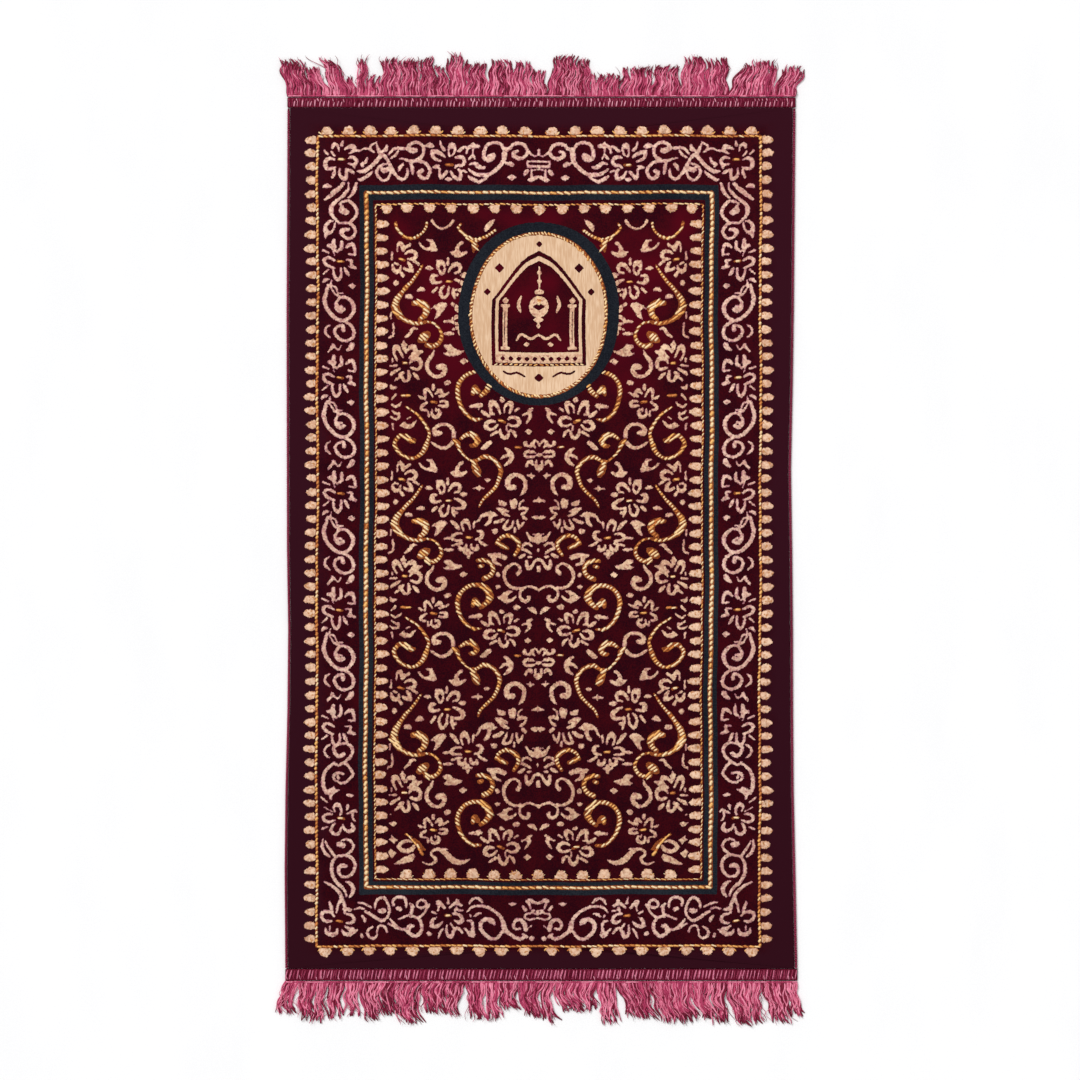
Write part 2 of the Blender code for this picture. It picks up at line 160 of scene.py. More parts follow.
FIELD_MARKS = """
144,502.3,5.8 143.8,502.5,5.8; 114,488.5,2.2 110.5,488.3,4.6 107.2,489,2.2; 122.5,510,2.4 118.5,508.7,4.6
115,509.3,2.4; 133,515.5,4 129.5,515.5,4.6 127.5,516.5,2.6; 94.5,538.8,2.2 90.5,538.5,3.4 88.5,538.5,2.4;
95,550,1.8 89.5,550,4 84.5,550,1.8; fill 80,575 75.5,571.5 70.5,574.5 75.5,578.5; fill 44,574 41,571.8
38,574.5 39,577.5 42.5,577.5; fill 44.5,586 41.5,584.5 37.5,585.5 39,588.5 42.5,590; fill 95.5,595.5 92.5,593
89,593 87,596 90,598.5 94,598.5; fill 26.5,606.5 23.5,603.8 20,604.5 17.8,607 20.5,609.8 24.5,609.8; fill
13,607.2 6,606 2.8,608.5 1,613 2,614.5 5.2,612.9 9,610.6; fill 16,640 11,637 7,640 11,644; fill 48,529.5
44,528.8 40,529 40.5,532.5 43,535 46,534; 6.5,516.5,2.2 3.5,517,4.4 1.8,517,4; 6,501,2.6 0,499.5,4.4;
0,496.8,2.4 0,503,2.6; 66,489,2.2 60,488.5,3.4 55.5,489,2.2; 60,486,2 60,491,2; 12,475,1.6 7.5,475.5,3.4
4,475.5,1.6; 8,473,2 7.3,478,2.2; fill 55,479.5 51,478 47.5,480 50,482.5 53,483
"""
# The field's motifs, each list with how much wider than written its strokes are drawn.
FIELD_MOTIFS = ((FIELD_LEAVES, -0.05), (FIELD_BLOSSOMS, 0.14), (FIELD_MARKS, 0.0))
# The gold scrolls of the repeat, and those of the field's head, in the same notation.
FIELD_SCROLLS = """
133,409,1.4 122,416,2.2 115,424,2.8 110.5,433,3.2 111.5,440,3.6 113.5,446,5.5 117,453,4.6 123,458,3.4
129,459,3 137,456,3.4 143,450,4 145,443,4.4 141,437,4.2; 140,436,3.6 134,437,5 129,441,6 125,441,3; 79,439,3
73,435,4.6 66,436,6 62.5,441,6 64,445,4.6 69,446,3; 86,440,3 82,444,5.4 80,450,2.8 73,458,1.8 66,462,2.6
61,460,3.6 55,457,4.2 47,459,4 41,465,4.2 38.5,471,4.4 40,479,4 44,488,3.6 51,495,3.2 57,501,2.6 60,507,1.6;
65.5,461,3.6 64.5,466,6.4 62.5,471,8.6 61,475,5; 117,486,1.4 121,492,2.4 127,500,3.2 133,506,3.8 139,513,4.4;
139,513,5 143,519,7 144,526,8 139,534,6.6; 139,534,5 131,539,3.8 122,541,3.4 114,540,3; 126,522,4 119,522,7
113,526,7.4 114,533,6 119,537,4; 113,539,1.6 104,541,1.8 98.5,547,2.6 97,553,3.6 100,559,4.2 106,562,4.4
112,561,5; 119,557,5 115,554,9.5 111,551,6; 42,544,3 38,538,3.6 31,535.5,4 24,538,4.4 19.5,543,4.6 20,549,4
24,555,3; 41,543,4 36,546,5 31,548,3.4; 61,561,3.4 53,561,4.2 47,565,4.4 45.5,571,4.4 49,576,5 55,579,5;
59,567,3.6 56,566,3.6; 58,629,2 66,629,3 73,624,3.6 78,617,4 81,606,4.6 80,597,4.6 74,589,4.2 66,585.5,4.2
58,585.5,4.4; 58,585.5,5 52,590,7 49,597,7.6 52,603,5.6 58,608,4; 66,606,4 64,601,6 61,604,5
"""
HEAD_SCROLLS = """
143.5,223,3.4 142.5,228,3 139,233,2.6 134,237,2.4 128,238.8,2.4 122,237,2.4 117,233.5,2.6 113.5,228.5,2.6
112.5,223.5,2.8; 78.5,224,2.4 81,228,2.8 77.5,232.5,3.2 72,236.5,2.8 66,239,2.4 60,239,2.6 54,237,3.2
49,234,3.4 44,230.5,3
"""

# Both ends of the field, where no whole repeat fits, in rows of the rug.
FIELD_HEAD = """
107.5,221,3.4 104,226,2.9 98,229,2.7 91,226.5,3 86,221,3.8; 131.5,223.5,1.4 127,223,1.2; fill 44,219 50,221
54.5,225 55.5,230 54,233 50,229 46,224.5
"""
FIELD_FOOT = """
fill 151.5,821 146.5,823 144.5,821 140.8,824 144.5,827.3 147.5,826; 137,821.5,1.4 136,822,1.2; fill
147.5,834.6 144,838 138.8,840.5 142.8,842.3 144,845.8 146.5,842.3 150.7,839.8 147.3,838.2; fill 147.5,848.3
150.7,852.5 148.7,856.5 146.5,859.3 144.3,856.3 141.3,853.5 144.7,851.3; 116,862.3,2 110,864.5,2.6
104.5,863,3 102.8,859,3.6 107,854.8,3.2 105.5,850.8,3.4 99,849.8,4 93.5,853,5.4 88.5,858.5,6.8 82.5,862.3,6.2
75.5,862.8,4.6 69,860,1.8; fill 146,864.6 139,860 134.3,856.9 125,853.2 122.8,857 125.7,861.6 135,864.2
142.9,865.4; 140.3,847,3.4 136,843,4.4 130.5,841,3.4 126,842.3,2; 140.3,847,4 136.5,850.4,4.6 131,851.4,5
126.5,849.4,4.6 124,845.5,2.6
"""
# The border's motifs. The side flower repeats down each long side, and the others come once.
SIDE_FLOWER = """
210.5,477.5,3.4 206,478,6; 205,472,4.2 205,479,5; 206,481,3 201.5,484,2.2; 197.3,473.5,3 197.5,480,4
200,482,3; 193,479.5,2.4 190,477,4 186,476.5,4 184.5,481,3.6 183.5,486.5,2.6; 184,487,2 190,486,2.4;
216,482,2.6 210,484.5,2.2; 206,483,1.6 204,488,1.4; 204.5,492.5,2.6 210,489.5,3.2 215,491.5,3.6 213.5,496,3.6
209,498.5,3 205,500,2.4; 193,492,1.8 187.5,492.5,3 188,497,3 183.5,500,3 190,498.5,2.6; 195,499.5,2
193,503.5,4 190.5,507.5,2; 206.5,501,2.4 205.5,507,3.2 202,512,3.4 198.5,507.5,3.4 198.5,500,2.6; 216,505.5,2
211,501.5,2.4; 216.5,514,2.4 214,511.5,4 210.5,511.5,2; 208,512,1.8 208.5,517,2 204,519,2.2 201.5,526,2;
209,519,1.8 204,526.5,2.4 200,528,2; fill 192.5,517.5 187.5,514.5 183,517.5 187,521.5; 202,525.5,2
196,525.5,2; 211.5,517,3.4 213,523,4 215,531,4.6 212.5,540,4.2 207.5,546.5,4 202,551,4 196,552.5,4
190.5,550.5,3.4; 202,533,3 200,530,3 195.5,529,3.2 190.5,531,3.6 186,536.5,4.6 185.5,543,4.4 190,550,3.4
195,553,3; 203.5,535,3.4 202.5,539.5,5 199,543,4.4 195.5,541.5,4.4; 202,538,3 197,538.5,2.4; 195,553,3
188,557,3.4 185,563,4 185.5,568.5,3.6 190,572,3.2 196,572.5,3.4 202,568.5,3.6 204,562.5,3.4 201,558.5,3.2
196,557.5,3.6 195.5,562,4.6; 209,557,2 213,560,2.8 213,565.5,3 208.5,569.5,2; fill 207,574.5 204,576
202.5,579 206,581 211,586 212,583 208.5,579; 203,580,2 200,581.5,2 197.5,577,1.8; fill 189,574.5 184.5,574
183.5,578 186.5,582 192,584 193.5,582.5 190.5,578.5; 198,588,2.6 197.5,593,3.4
"""
SIDE_FOOT = """
207.5,744,2.4 211.5,746.5,2.8 213.3,751,2.8 211,755.5,2.4 208,757,2; 200.5,744,3 204,747.5,4 202.5,752.5,4
198.5,756,4.4 194,753.5,4.4; 198,743.5,2.6 192,742.8,3 187,745.5,3.8 184.8,750.5,3.8 187,756,3.6 191,760,3.2
195,763,3; 204,762.5,3 199,764.5,2.8 194,762.5,3.4 190,764.5,3 187,768.5,3 184.5,773.5,3.6 187.5,778,3
192,781.5,3 197.5,782.5,3 200,780.5,2.6; 193.5,773.5,2.6 198,772.3,3.4 202.5,773.5,3.6 204,777,3
202,780.5,2.4; 199.5,776.5,3.4 198.8,777.5,3; 203,762.5,3.2 208.5,766.5,3.4 212.5,771.5,4 214.5,779,4
213.8,787,4.4 211.5,792,4.4; fill 213,791 209,788 203,785.5 202,788 196,789 200.5,791.5 205.5,794.5 206,800
208.5,799 209.5,795; fill 194.5,794.5 189,792.3 182,795.3 187,797.3; 217,796.5,2 211,802,2; 214,806.5,1.6
205.5,811.5,1.6; 203,811,2.2 204.3,806.5,3 201,803.8,4.6 198,806,3.4 196.8,811,2.8 198.3,815,2; 206,813.7,2.4
211,813.7,3 214.8,816.5,3.6 213,820.5,3.4 208,821.3,3 203.5,819.5,2; 203,822.5,2 205.8,826,3 206.8,830.5,3.6
203,833.8,3.4 198.8,832,3.4 197,827,2.2; 195.5,824,2 193.5,828.5,3.2 188.5,831,4 184.8,828.5,4.6
186.5,823,2.8; 191,813,2.2 187,811.5,3 183.5,810,3 181,812,2; 185,813,2.8 185.6,817,2.4 183,821,2;
190.3,805.5,4 191.5,809.5,2.2; 216,828.3,2.8 210.5,826.5,2; 215.2,839,2 216,846,3.4 213,852.5,3.6
209,856,2.4; 213,840.5,2 209.8,846.5,2.8 206,852,3.2 203.5,856,2.8; 199.5,843.5,5.4 195.5,844.5,6;
196.5,840,2.4 191.5,838.8,2.8 187,841,3 184.8,846,3 187,850.5,2.8 192,854,2.8; 204,856,3 199,855.3,3
193.5,854.7,3 188,856.5,3.4 184.3,861.5,3.6 184,867.5,3.6 186.5,873,3.4 191.5,876.3,3.2 197,875.7,3.4
200.3,871.5,3.4 200,867,3.8 196.5,865,5 192.5,865.5,3.4; 203,856.5,3 206.3,861.5,3.6 207.3,868,4 206,875,3.8
202.5,881,3.6 197.5,886,3.6 193.5,890.5,3 191.8,896,2.2; 214,881.5,2 208,884.3,3.2 203,888,3.4 199,892,3.4
196.3,897,3.4; 192.5,881,2 188,883.3,4.2 185.3,888,4.8 186,893,4 189,896.7,2.2
"""
TOP_CORNER = """
214.5,150.5,3 211,154,2.4; 206.5,147,3.6 206,144.5,4 203.5,144,3.6 201,146.5,2.6 200,151,2; 207.5,151.5,2.8
204,156,2.2; 196.5,141,2.4 197.5,145,4; 194,149,2.6 190.5,147,4 186,146.5,5 184.5,150,4 189.5,153.5,2.4;
184,151,3 178,150.3,2.4; 204,159.5,2 208.5,158,3.4 212.5,160,4.6 213.5,164,5 211.5,168,4 207,168.5,3.2
203,167,2.2; 190.5,163.5,2 186,164.5,3.4; 190.5,158.5,2 187,157,3.4 183.5,158.5,3.6 181.5,161.5,3.2 184,165,4
183.5,168,2.4; 190.5,170,3 187.5,171,4 184.5,173,3; 198.8,168.5,2.4 198.5,175,3.4 195,178.5,4 192.5,179,3.4
192,174,4 192.3,168.5,2.4; 203.5,170,2.2 204.7,174,4 206,177.5,2.2; 215,186.5,2.4 211.5,185.5,5
207.5,186.5,2.4; 171.5,157.5,2 173,162,3.6 177,164,3.4 175.5,166.5,2.4; 177,149.5,2 173,148.3,3
169.5,149.5,2.2; 164.5,152.5,2 168,149.5,3 168.5,146,3 165.5,143.5,2.4 162.5,142,1.8; 162.5,143,1.8
160.5,149,3.6 157.5,154.5,5 154,156,4 151,160,3.4 148,166,4 146,170.5,4.6 142,175.5,3.4 137.5,179.5,3.6
133,178.5,3.4 130.8,174,3.6 131.3,169,2.4; 158,156,4.6 161.5,160,4.4 166,165,4 171,169,4.4 176,171.5,4.6
181,171,2.4; 166,171.5,2.4 168.5,174,3.4 173,177,3.6 177,179.5,3.8 180,179,2; 152,145,2 153,149.5,4.4
156,150.5,2.6; 147.5,172,3 150,178,3 155,180.3,3 159.5,177,3.2 161.5,172,3.4 160,167.5,3 156.5,164.8,3
152.5,164,2.4; 157,167,2.6 155,170.5,5 151,169.5,5 147.5,170,4; 136,165,4 138.5,168,4 139.5,171,2.4;
150,154,2.4 146.5,150,3 141.5,148.3,3.4 135,149,3.4; 147.5,158,2.6 143.5,155.5,3 140.5,151.5,2.6; 139,158.5,2
134,159.5,2.6 129,161.5,3.4 121,162,3.4 115,162.8,3.4 110.5,166.5,3.4 108.3,171.5,4 110,176.5,3.6
113.5,179.5,3.6 117.5,177.5,4 119.3,173.5,4.4 116.5,171.5,4.6; 127.5,163,3 126,169,4 125.5,174.5,2.4;
132,149,3.4 130,146,4 125,143,3.6 119.5,143.8,3.6 115.5,148,3.4 115.3,153.5,3.4 117.5,158,4 122.5,160,2.4;
130,149.5,5 126,151,6.4 123,151,5; 113.5,146.5,2.4 109.5,146,5.4 106.5,147,4; 195,183.5,4 199,188,4.4
203.5,191.5,5.2 208,195.5,4.4 213.5,199.5,2.8; 182,183,3 183.5,189,4.4 186.5,194.5,3.4 190.5,198,2;
189.8,183,2 190,189,2.6 193,192.8,4 197.5,197.5,3.4 202,200.8,3.6 206,204.5,4 208,209,5 207,215,4 203.5,219,3
200.5,222.5,2.6; 199.5,204,2.4 195,201.5,3 190,201,3.2 185.7,204.2,3.4 182.5,209.2,3.6 182.5,214.5,3.6
185.7,219.2,3.2 189.5,222.5,3; fill 200.7,211 199,205 195.2,204.2 194.8,207.5 189,211 189.8,214.2 193.2,215.8
199,213.3; 200,223.5,2.4 194.5,222.8,3 189.5,223.5,3 185.5,226.5,3.4 183.5,231.5,3.4 186,236.5,3.4
190.5,238.5,3.2 195,236.5,3.4 197.5,232,5 194.5,229.5,4.6 190.5,229.5,3.2; 206,221,2.4 210,221.5,3.4
213.3,226,4.4 213,232.5,4.6 213.5,238,2; 210.5,233,4 207,231,3 204.5,227,2.8 204,222.5,2
"""
TOP_MIDDLE = """
98.7,142,2 97.3,147,3 94.5,150.5,3.4; 107,151.5,3 102,152.5,5 97,155,4 94,157.5,2.2; 106.5,152,4.4 106,157,4
102.5,160,3.4 98,161.8,2.4; 105,168,2.4 102,167.5,4.4 99.5,166,2.4; 98.8,169.5,2.6 98.5,176,3.6 97,178.8,3.6
94.5,175.5,3.4 91.3,172,3.4; 92,179.5,2.6 89.5,179.3,4.6 87,179.3,2.4; 89,146.5,4 86.8,145.8,6.4
84.7,146.5,4; 90,148,2.6 89.7,155,2.4 88,156.3,2 84.5,153.5,2.6 83.7,148,3; 80,151.5,3.4 77,148.5,3.6
73,146.3,2.2; 82.5,157.3,3 77,157.3,4.4 74,161,4 76,165,3.6 81,165.5,3 83,168,2.6; 88,171.5,2.4 85,176,4
81,179,4 78,178.5,4 77.7,173,3.6 79.5,169.5,3; 75.5,170.5,2 72.5,172,3; 72.3,153,2.4 71.3,149,3
68.5,146.5,4.4 64.5,146,5 60.5,146.5,4; 66,142.5,2 66,145,3; 66,149.5,2.4 65.7,155,2.4; 70,159.5,2.2
68,157.5,3.4 65.5,156,2.6 63.5,159,2.2; 68.5,164.3,2.4 63.5,163.2,3.6 60,166.5,5 56,168,3.6 53.5,167,2.4;
70,168.8,2 66,172,3 61,174.5,4.2 54,175,4 48,174,4 42.5,170,4 38,165.5,4 35,160.5,5 34,154,6 33.5,149.5,5;
33,149.5,4 29,148.5,3.6 26,145,3.6 21,143.3,4 15.5,144.3,4 11.8,148.5,3.6 11.5,153,3.6 14.5,157,3.6
19.5,158.3,4 24.5,156,5 24.8,152.5,4 21,151,3; 35.5,149,3 37.5,144.8,3.6 42,142.8,3.4 47,143,3.4 51.5,145,3.8
54,150,4 55,156,4.4 52,160,4.4 48,158,8 45.5,156,6; 33.5,162.5,2.4 30,164.5,2.6; 28.5,163.5,5 26.5,165,5;
fill 32,177.5 27,174 21,177 26.5,181.5; 9.5,151,2 7.5,154,2.2 4,155.5,1.8 0,154.5,1.6; 0,148,2 0,151,3.4
0,154,1.6; fill 12.5,159.6 0,159.6 0,167.6 12.5,167.6; hole 8.5,163,2.2 0,163,2.2; 7,169,2 7,176,3;
5.5,169.8,2 0,168.5,1.8; 9.5,179.5,3 7,179,5 3.5,177.5,4 0,176.5,3; 11,170.5,4 12.5,172.5,4.4 14.5,175,2;
70,176.3,2 66.5,178.8,4 62,181,4 59.5,182,3.6 55.5,180.3,3.4 50.5,177.5,2
"""
FOOT_CORNER = """
208.7,901,2 207,906,3.8 205.3,911,2.4; 197.5,896,3.4 197.5,899.5,4 200,904,3 201.3,911.5,2.4; 195.5,899,3.4
193.5,905,4 193.3,912.5,2.6; 203.5,915.5,2.2 207,912,3 212,911,4 215.8,912.5,4 215.8,917,3.6 212,920.7,3.4
206.5,920.5,2.6; 212.5,928,2.4 211,932,4.4 205.5,934,4.6 201.5,932.5,4 200.5,928.5,2.4; 208,925.5,2.4
208,929.5,2.2; 195.8,929.5,2.4 194,932.5,3.6 189,934,4.6 184,932,4.2 180.5,929.5,2.2; 192.5,925.5,2.4
189.5,928,3.6 186,929.5,6; 192,913.5,2.4 188,914,3 184.3,917,3.4 183.8,920.5,3.6 187.5,922.8,3.4
191.5,922.5,2.4; 191.5,908.5,4 187.5,909.5,4; 183.5,909,2.2 178,907.8,2.6 173.5,909,2.2; 180,902.3,2
175,903.3,2.6 170.5,905.3,2.4 166,908,1.8; 175.5,916,2.4 173,919.5,4 172.8,921.5,2.6; 163,908.5,2.4
162.3,903,3.2 159.5,899.3,3.2 155.5,897.8,3.4 152.7,899.5,3.4 150.3,903.5,3; fill 161,909 152,908.5 150.5,912
155,914.5 160,913; 150.3,903,3 148.5,909,3.2 149,915,3 152.5,919.5,3 156,921,3; 172.5,911.5,2.6 168,914,3.4
163,917.3,3.6 159,920,3.6 155,921.5,3.2; 144.5,905.5,3 145,901,3.4 142,898,3.4 138,897.3,3.6 134,898.3,3.4
132,902,3.4 131.5,906.5,3; 140,908.5,4 137.5,909.5,4.6; 147.5,919.5,2 144,924,3.2 140.5,927.5,3.4
136.5,929.3,3 132,929.8,2.8; 149.5,924,2.2 145,926,2.2 142,928.5,2; 138.5,919.3,2.6 132.5,917,2.4;
127.5,903.5,2.2 126,908,3.2 126,913.5,3.4 127,917,3; 127.5,904,3 123.5,907.3,2.4; 133,916.5,2.6 127.5,915.3,3
122,917.3,2.8 117,916.5,2.8 113,912.5,2.8 110.5,908,2.8 108.5,905,3; 121,905,3.2 119.5,901.5,3 115.5,900.2,3
111.8,902.5,3.2 112.5,906.3,3 116.5,908,3.2 120,907,2.6; 120,918,3 117,922,3.6 115.8,927,3.8 117,932,4
121.5,936,4 126,935,4 130,931.5,3.8 133,930,2.6; 129.5,930,5 128,926.5,5 124.5,926,3.4; 165,927,2.4
169,929.5,3 170.5,933.5,3.2 168,937.3,3 164,938.5,3 161,936,2.4 160.5,931,2.4 159,926.5,2.4 155.5,926,2.6
152,928.5,2.8 151,932.5,2.2; 176.5,934.5,3.4 175.8,936.5,3.8; fill 108,921.5 105.5,918 99,916.5 103,921
103.5,925 98,923 94,920.5 95,925 99,928.5 104,929.5 108.5,927; 109.3,933.5,4.4 108,934.3,4.4
"""
FOOT_MIDDLE = """
fill 102.5,901 99,899.8 96,901.5 95,905.5 98,907.5 101.5,905; 96,905,3.4 93,908.5,3; 99,907,2.4 99.5,911,2.4;
105.5,912,2.6 101.5,914,2.4; 90.3,898,2 89.3,904,3.2; 88,908.5,2.4 85.5,905.5,3 81.5,903.5,4.4 80.5,901,4;
79,904.5,3.4 76.5,906,3.6; 75,911,2.4 79,911,2.4 81.5,908,2.4 82.5,913.5,2.2; 84.5,914.3,2.6 80,915,3
76.5,917,3.4 75.7,921.5,4.6 79.5,923,3.6 83,920.5,2; 91,925.5,2 91,932.5,3 89.5,936.5,3.4 86,937.3,4.4
84.5,932.5,4 81.5,928.8,3.6 78,930,3.2 75,933.5,2.6; 87,924,2 84.5,928,2.6; 94.5,929,2 97.5,933,3.2
99.3,938.5,2; 70,921,2.4 66,921.7,3.2 64.7,926,3.4 65,931,3.4; fill 71,932 67,931 63,931 61,935 64,938.5
67.5,938 70,936; 73,929,2.2 70,932,3; 70.5,912.5,2 66.5,908,3 63,906,2.6; 67,915.5,2.4 66.5,917,2.4; fill
65,917.5 62,913 57,912 54,913.5 58,915 60.5,917; 64.5,907,2.4 58,906,3 52,906.7,3.4 46,909.2,3.4 40,913.2,3.6
36,918,3.8 34.3,923,4; 62.5,898,2.4 59,899,3.6 55.3,902.5,2.2; 68.5,904.5,2 66.3,900.3,3 63.5,898.7,2.4;
34,922,4.6 33,928,6 30,932,4.4 26.5,934.5,3.8 22,937.3,3.8 17,938.7,3.8 13,936,3.2; 35.5,931,3.4 38,935,3.6
42,938.3,3.6 47,938.3,3.8 52,935,4 56,930.3,4.2 57.3,926,4.4 55,921,4.4 50,919,4.8 45.5,921,6 43,923.5,3;
12,929.5,4.6 13,924,5 16,920.3,4 20,919.3,3.6 23.3,921.7,3.6 24,926,3.6 21.5,928.7,3.2 17.5,928.3,3; 12,931,2
9,928,1.8 6,925.3,1.8; 14.5,934,3 11.5,936.5,4; fill 9.5,938 6.5,935 3,937 4,940.5 7.5,941; fill 30.5,903
25,901.5 19.5,903 25.5,906.5; 10.5,901,4 7,899.7,3.6 4.5,902,3.6 0,903,3; 8.5,904,2.8 7,908,2.4; 6,910,2
0,911,2; 11,913.7,2.6 5,912.8,2.2 0,914,2.4; 13,917,2.6 12,914,2.4; 12.5,917.5,2.6 8,919.3,2.4 0,918,2;
14.5,906.5,3 12,909.5,4.2
"""
# The chain of the niche's lamp, the lines beside and below it, and the dark one under the niche.
NICHE_LINES = """
0,266,1.8 0,290,1.8; 18,296,1.8 20.5,304,3.6 18,312,1.8; 0,334,2 8,338,2.6 17,334,2.6 22,340,2;
hole 14,376,1.8 22,372.5,2.2 30,374,2.2 36,371,1.8
"""


def smooth_path(points: list[Knot] | tuple[Knot, ...], steps: int = 5) -> Array:
    """Run a Catmull-Rom curve through points.

    Args:
        points: The points to pass through, with anything that is to be blended along them.
        steps: How many pieces each stretch is cut into.

    Returns:
        One row for each point of the curve.
    """
    path = np.array(points, float)
    if len(path) < 3:
        share = np.linspace(0, 1, steps + 1)[:, None]
        return path[0] + (path[-1] - path[0]) * share
    padded = np.vstack([2 * path[0] - path[1], path, 2 * path[-1] - path[-2]])
    pieces = []
    for a, b, c, d in zip(padded, padded[1:], padded[2:], padded[3:]):
        t = np.arange(steps)[:, None] / steps
        pieces.append(0.5 * (2 * b + (c - a) * t + (2 * a - 5 * b + 4 * c - d) * t ** 2
                             + (3 * b - a - 3 * c + d) * t ** 3))
    return np.vstack([*pieces, path[-1:]])


def smoothstep(low: float, high: float, value: Array | float) -> Array | float:
    """Rise smoothly from 0 at low to 1 at high."""
    share = np.clip((value - low) / (high - low), 0, 1)
    return share * share * (3 - 2 * share)


@dataclass(frozen=True)
class Loom:
    """Turns a place on the chart into metres on the floor.

    The pattern's middle line lies a little left of the cloth's own and drifts further left
    towards the lower end, and the lines waver as hand-fed weaving does.
    """

    knot: float = 0.0013725
    origin_row: float = 539.0
    axis_top: float = -2.5
    axis_bottom: float = -3.4
    drift_rows: Pair = (500.0, 700.0)
    waver: float = 0.45
    # The waver's long and short waves: long length, its skew, short length, phase and share.
    sway_wave: tuple[float, ...] = (31.0, 160.0, 11.7, 2.1, 0.6)
    sag_wave: tuple[float, ...] = (37.0, 210.0, 13.1, 1.3, 0.7)

    def axis(self, row: Array | float) -> Array | float:
        """The column offset of the pattern's middle line from the cloth's, at a row."""
        return self.axis_top + (self.axis_bottom - self.axis_top) * smoothstep(*self.drift_rows, row)

    def place(self, column: Array, row: Array) -> tuple[Array, Array]:
        """Find where a knot lies.

        Args:
            column: Knots from the middle line, positive to the right.
            row: Knots down the warp.

        Returns:
            X and Y in metres.
        """
        long, skew, short, phase, share = self.sway_wave
        sway = self.waver * (np.sin(row / long + column / skew) + share * np.sin(row / short + phase))
        long, skew, short, phase, share = self.sag_wave
        sag = self.waver * (np.sin(column / long + phase) + share * np.sin(column / short + row / skew))
        x = (column + self.axis(row) + sway) * self.knot
        y = (self.origin_row - row - sag) * self.knot
        return x, y


@dataclass(frozen=True)
class Mark:
    """One mark of a motif: a brush stroke through its points, or a shape with those corners."""

    points: tuple[tuple[float, ...], ...]
    thread: Thread = Thread.BEIGE
    straight: bool = False


def read_marks(notation: str) -> list[Mark]:
    """Read a motif's marks.

    Args:
        notation: The marks, parted by semicolons. A mark is a row of points, each written as
            column,row,width. After "fill" the points are a shape's corners, and after "hole"
            they are a stroke of ground.

    Returns:
        The marks in order.
    """
    marks = []
    for entry in notation.split(";"):
        words = entry.split()
        kind = words.pop(0) if words[0].isalpha() else "stroke"
        points = tuple(tuple(float(part) for part in word.split(",")) for word in words)
        marks.append(Mark(points, Thread.GROUND if kind == "hole" else Thread.BEIGE, kind == "fill"))
    return marks


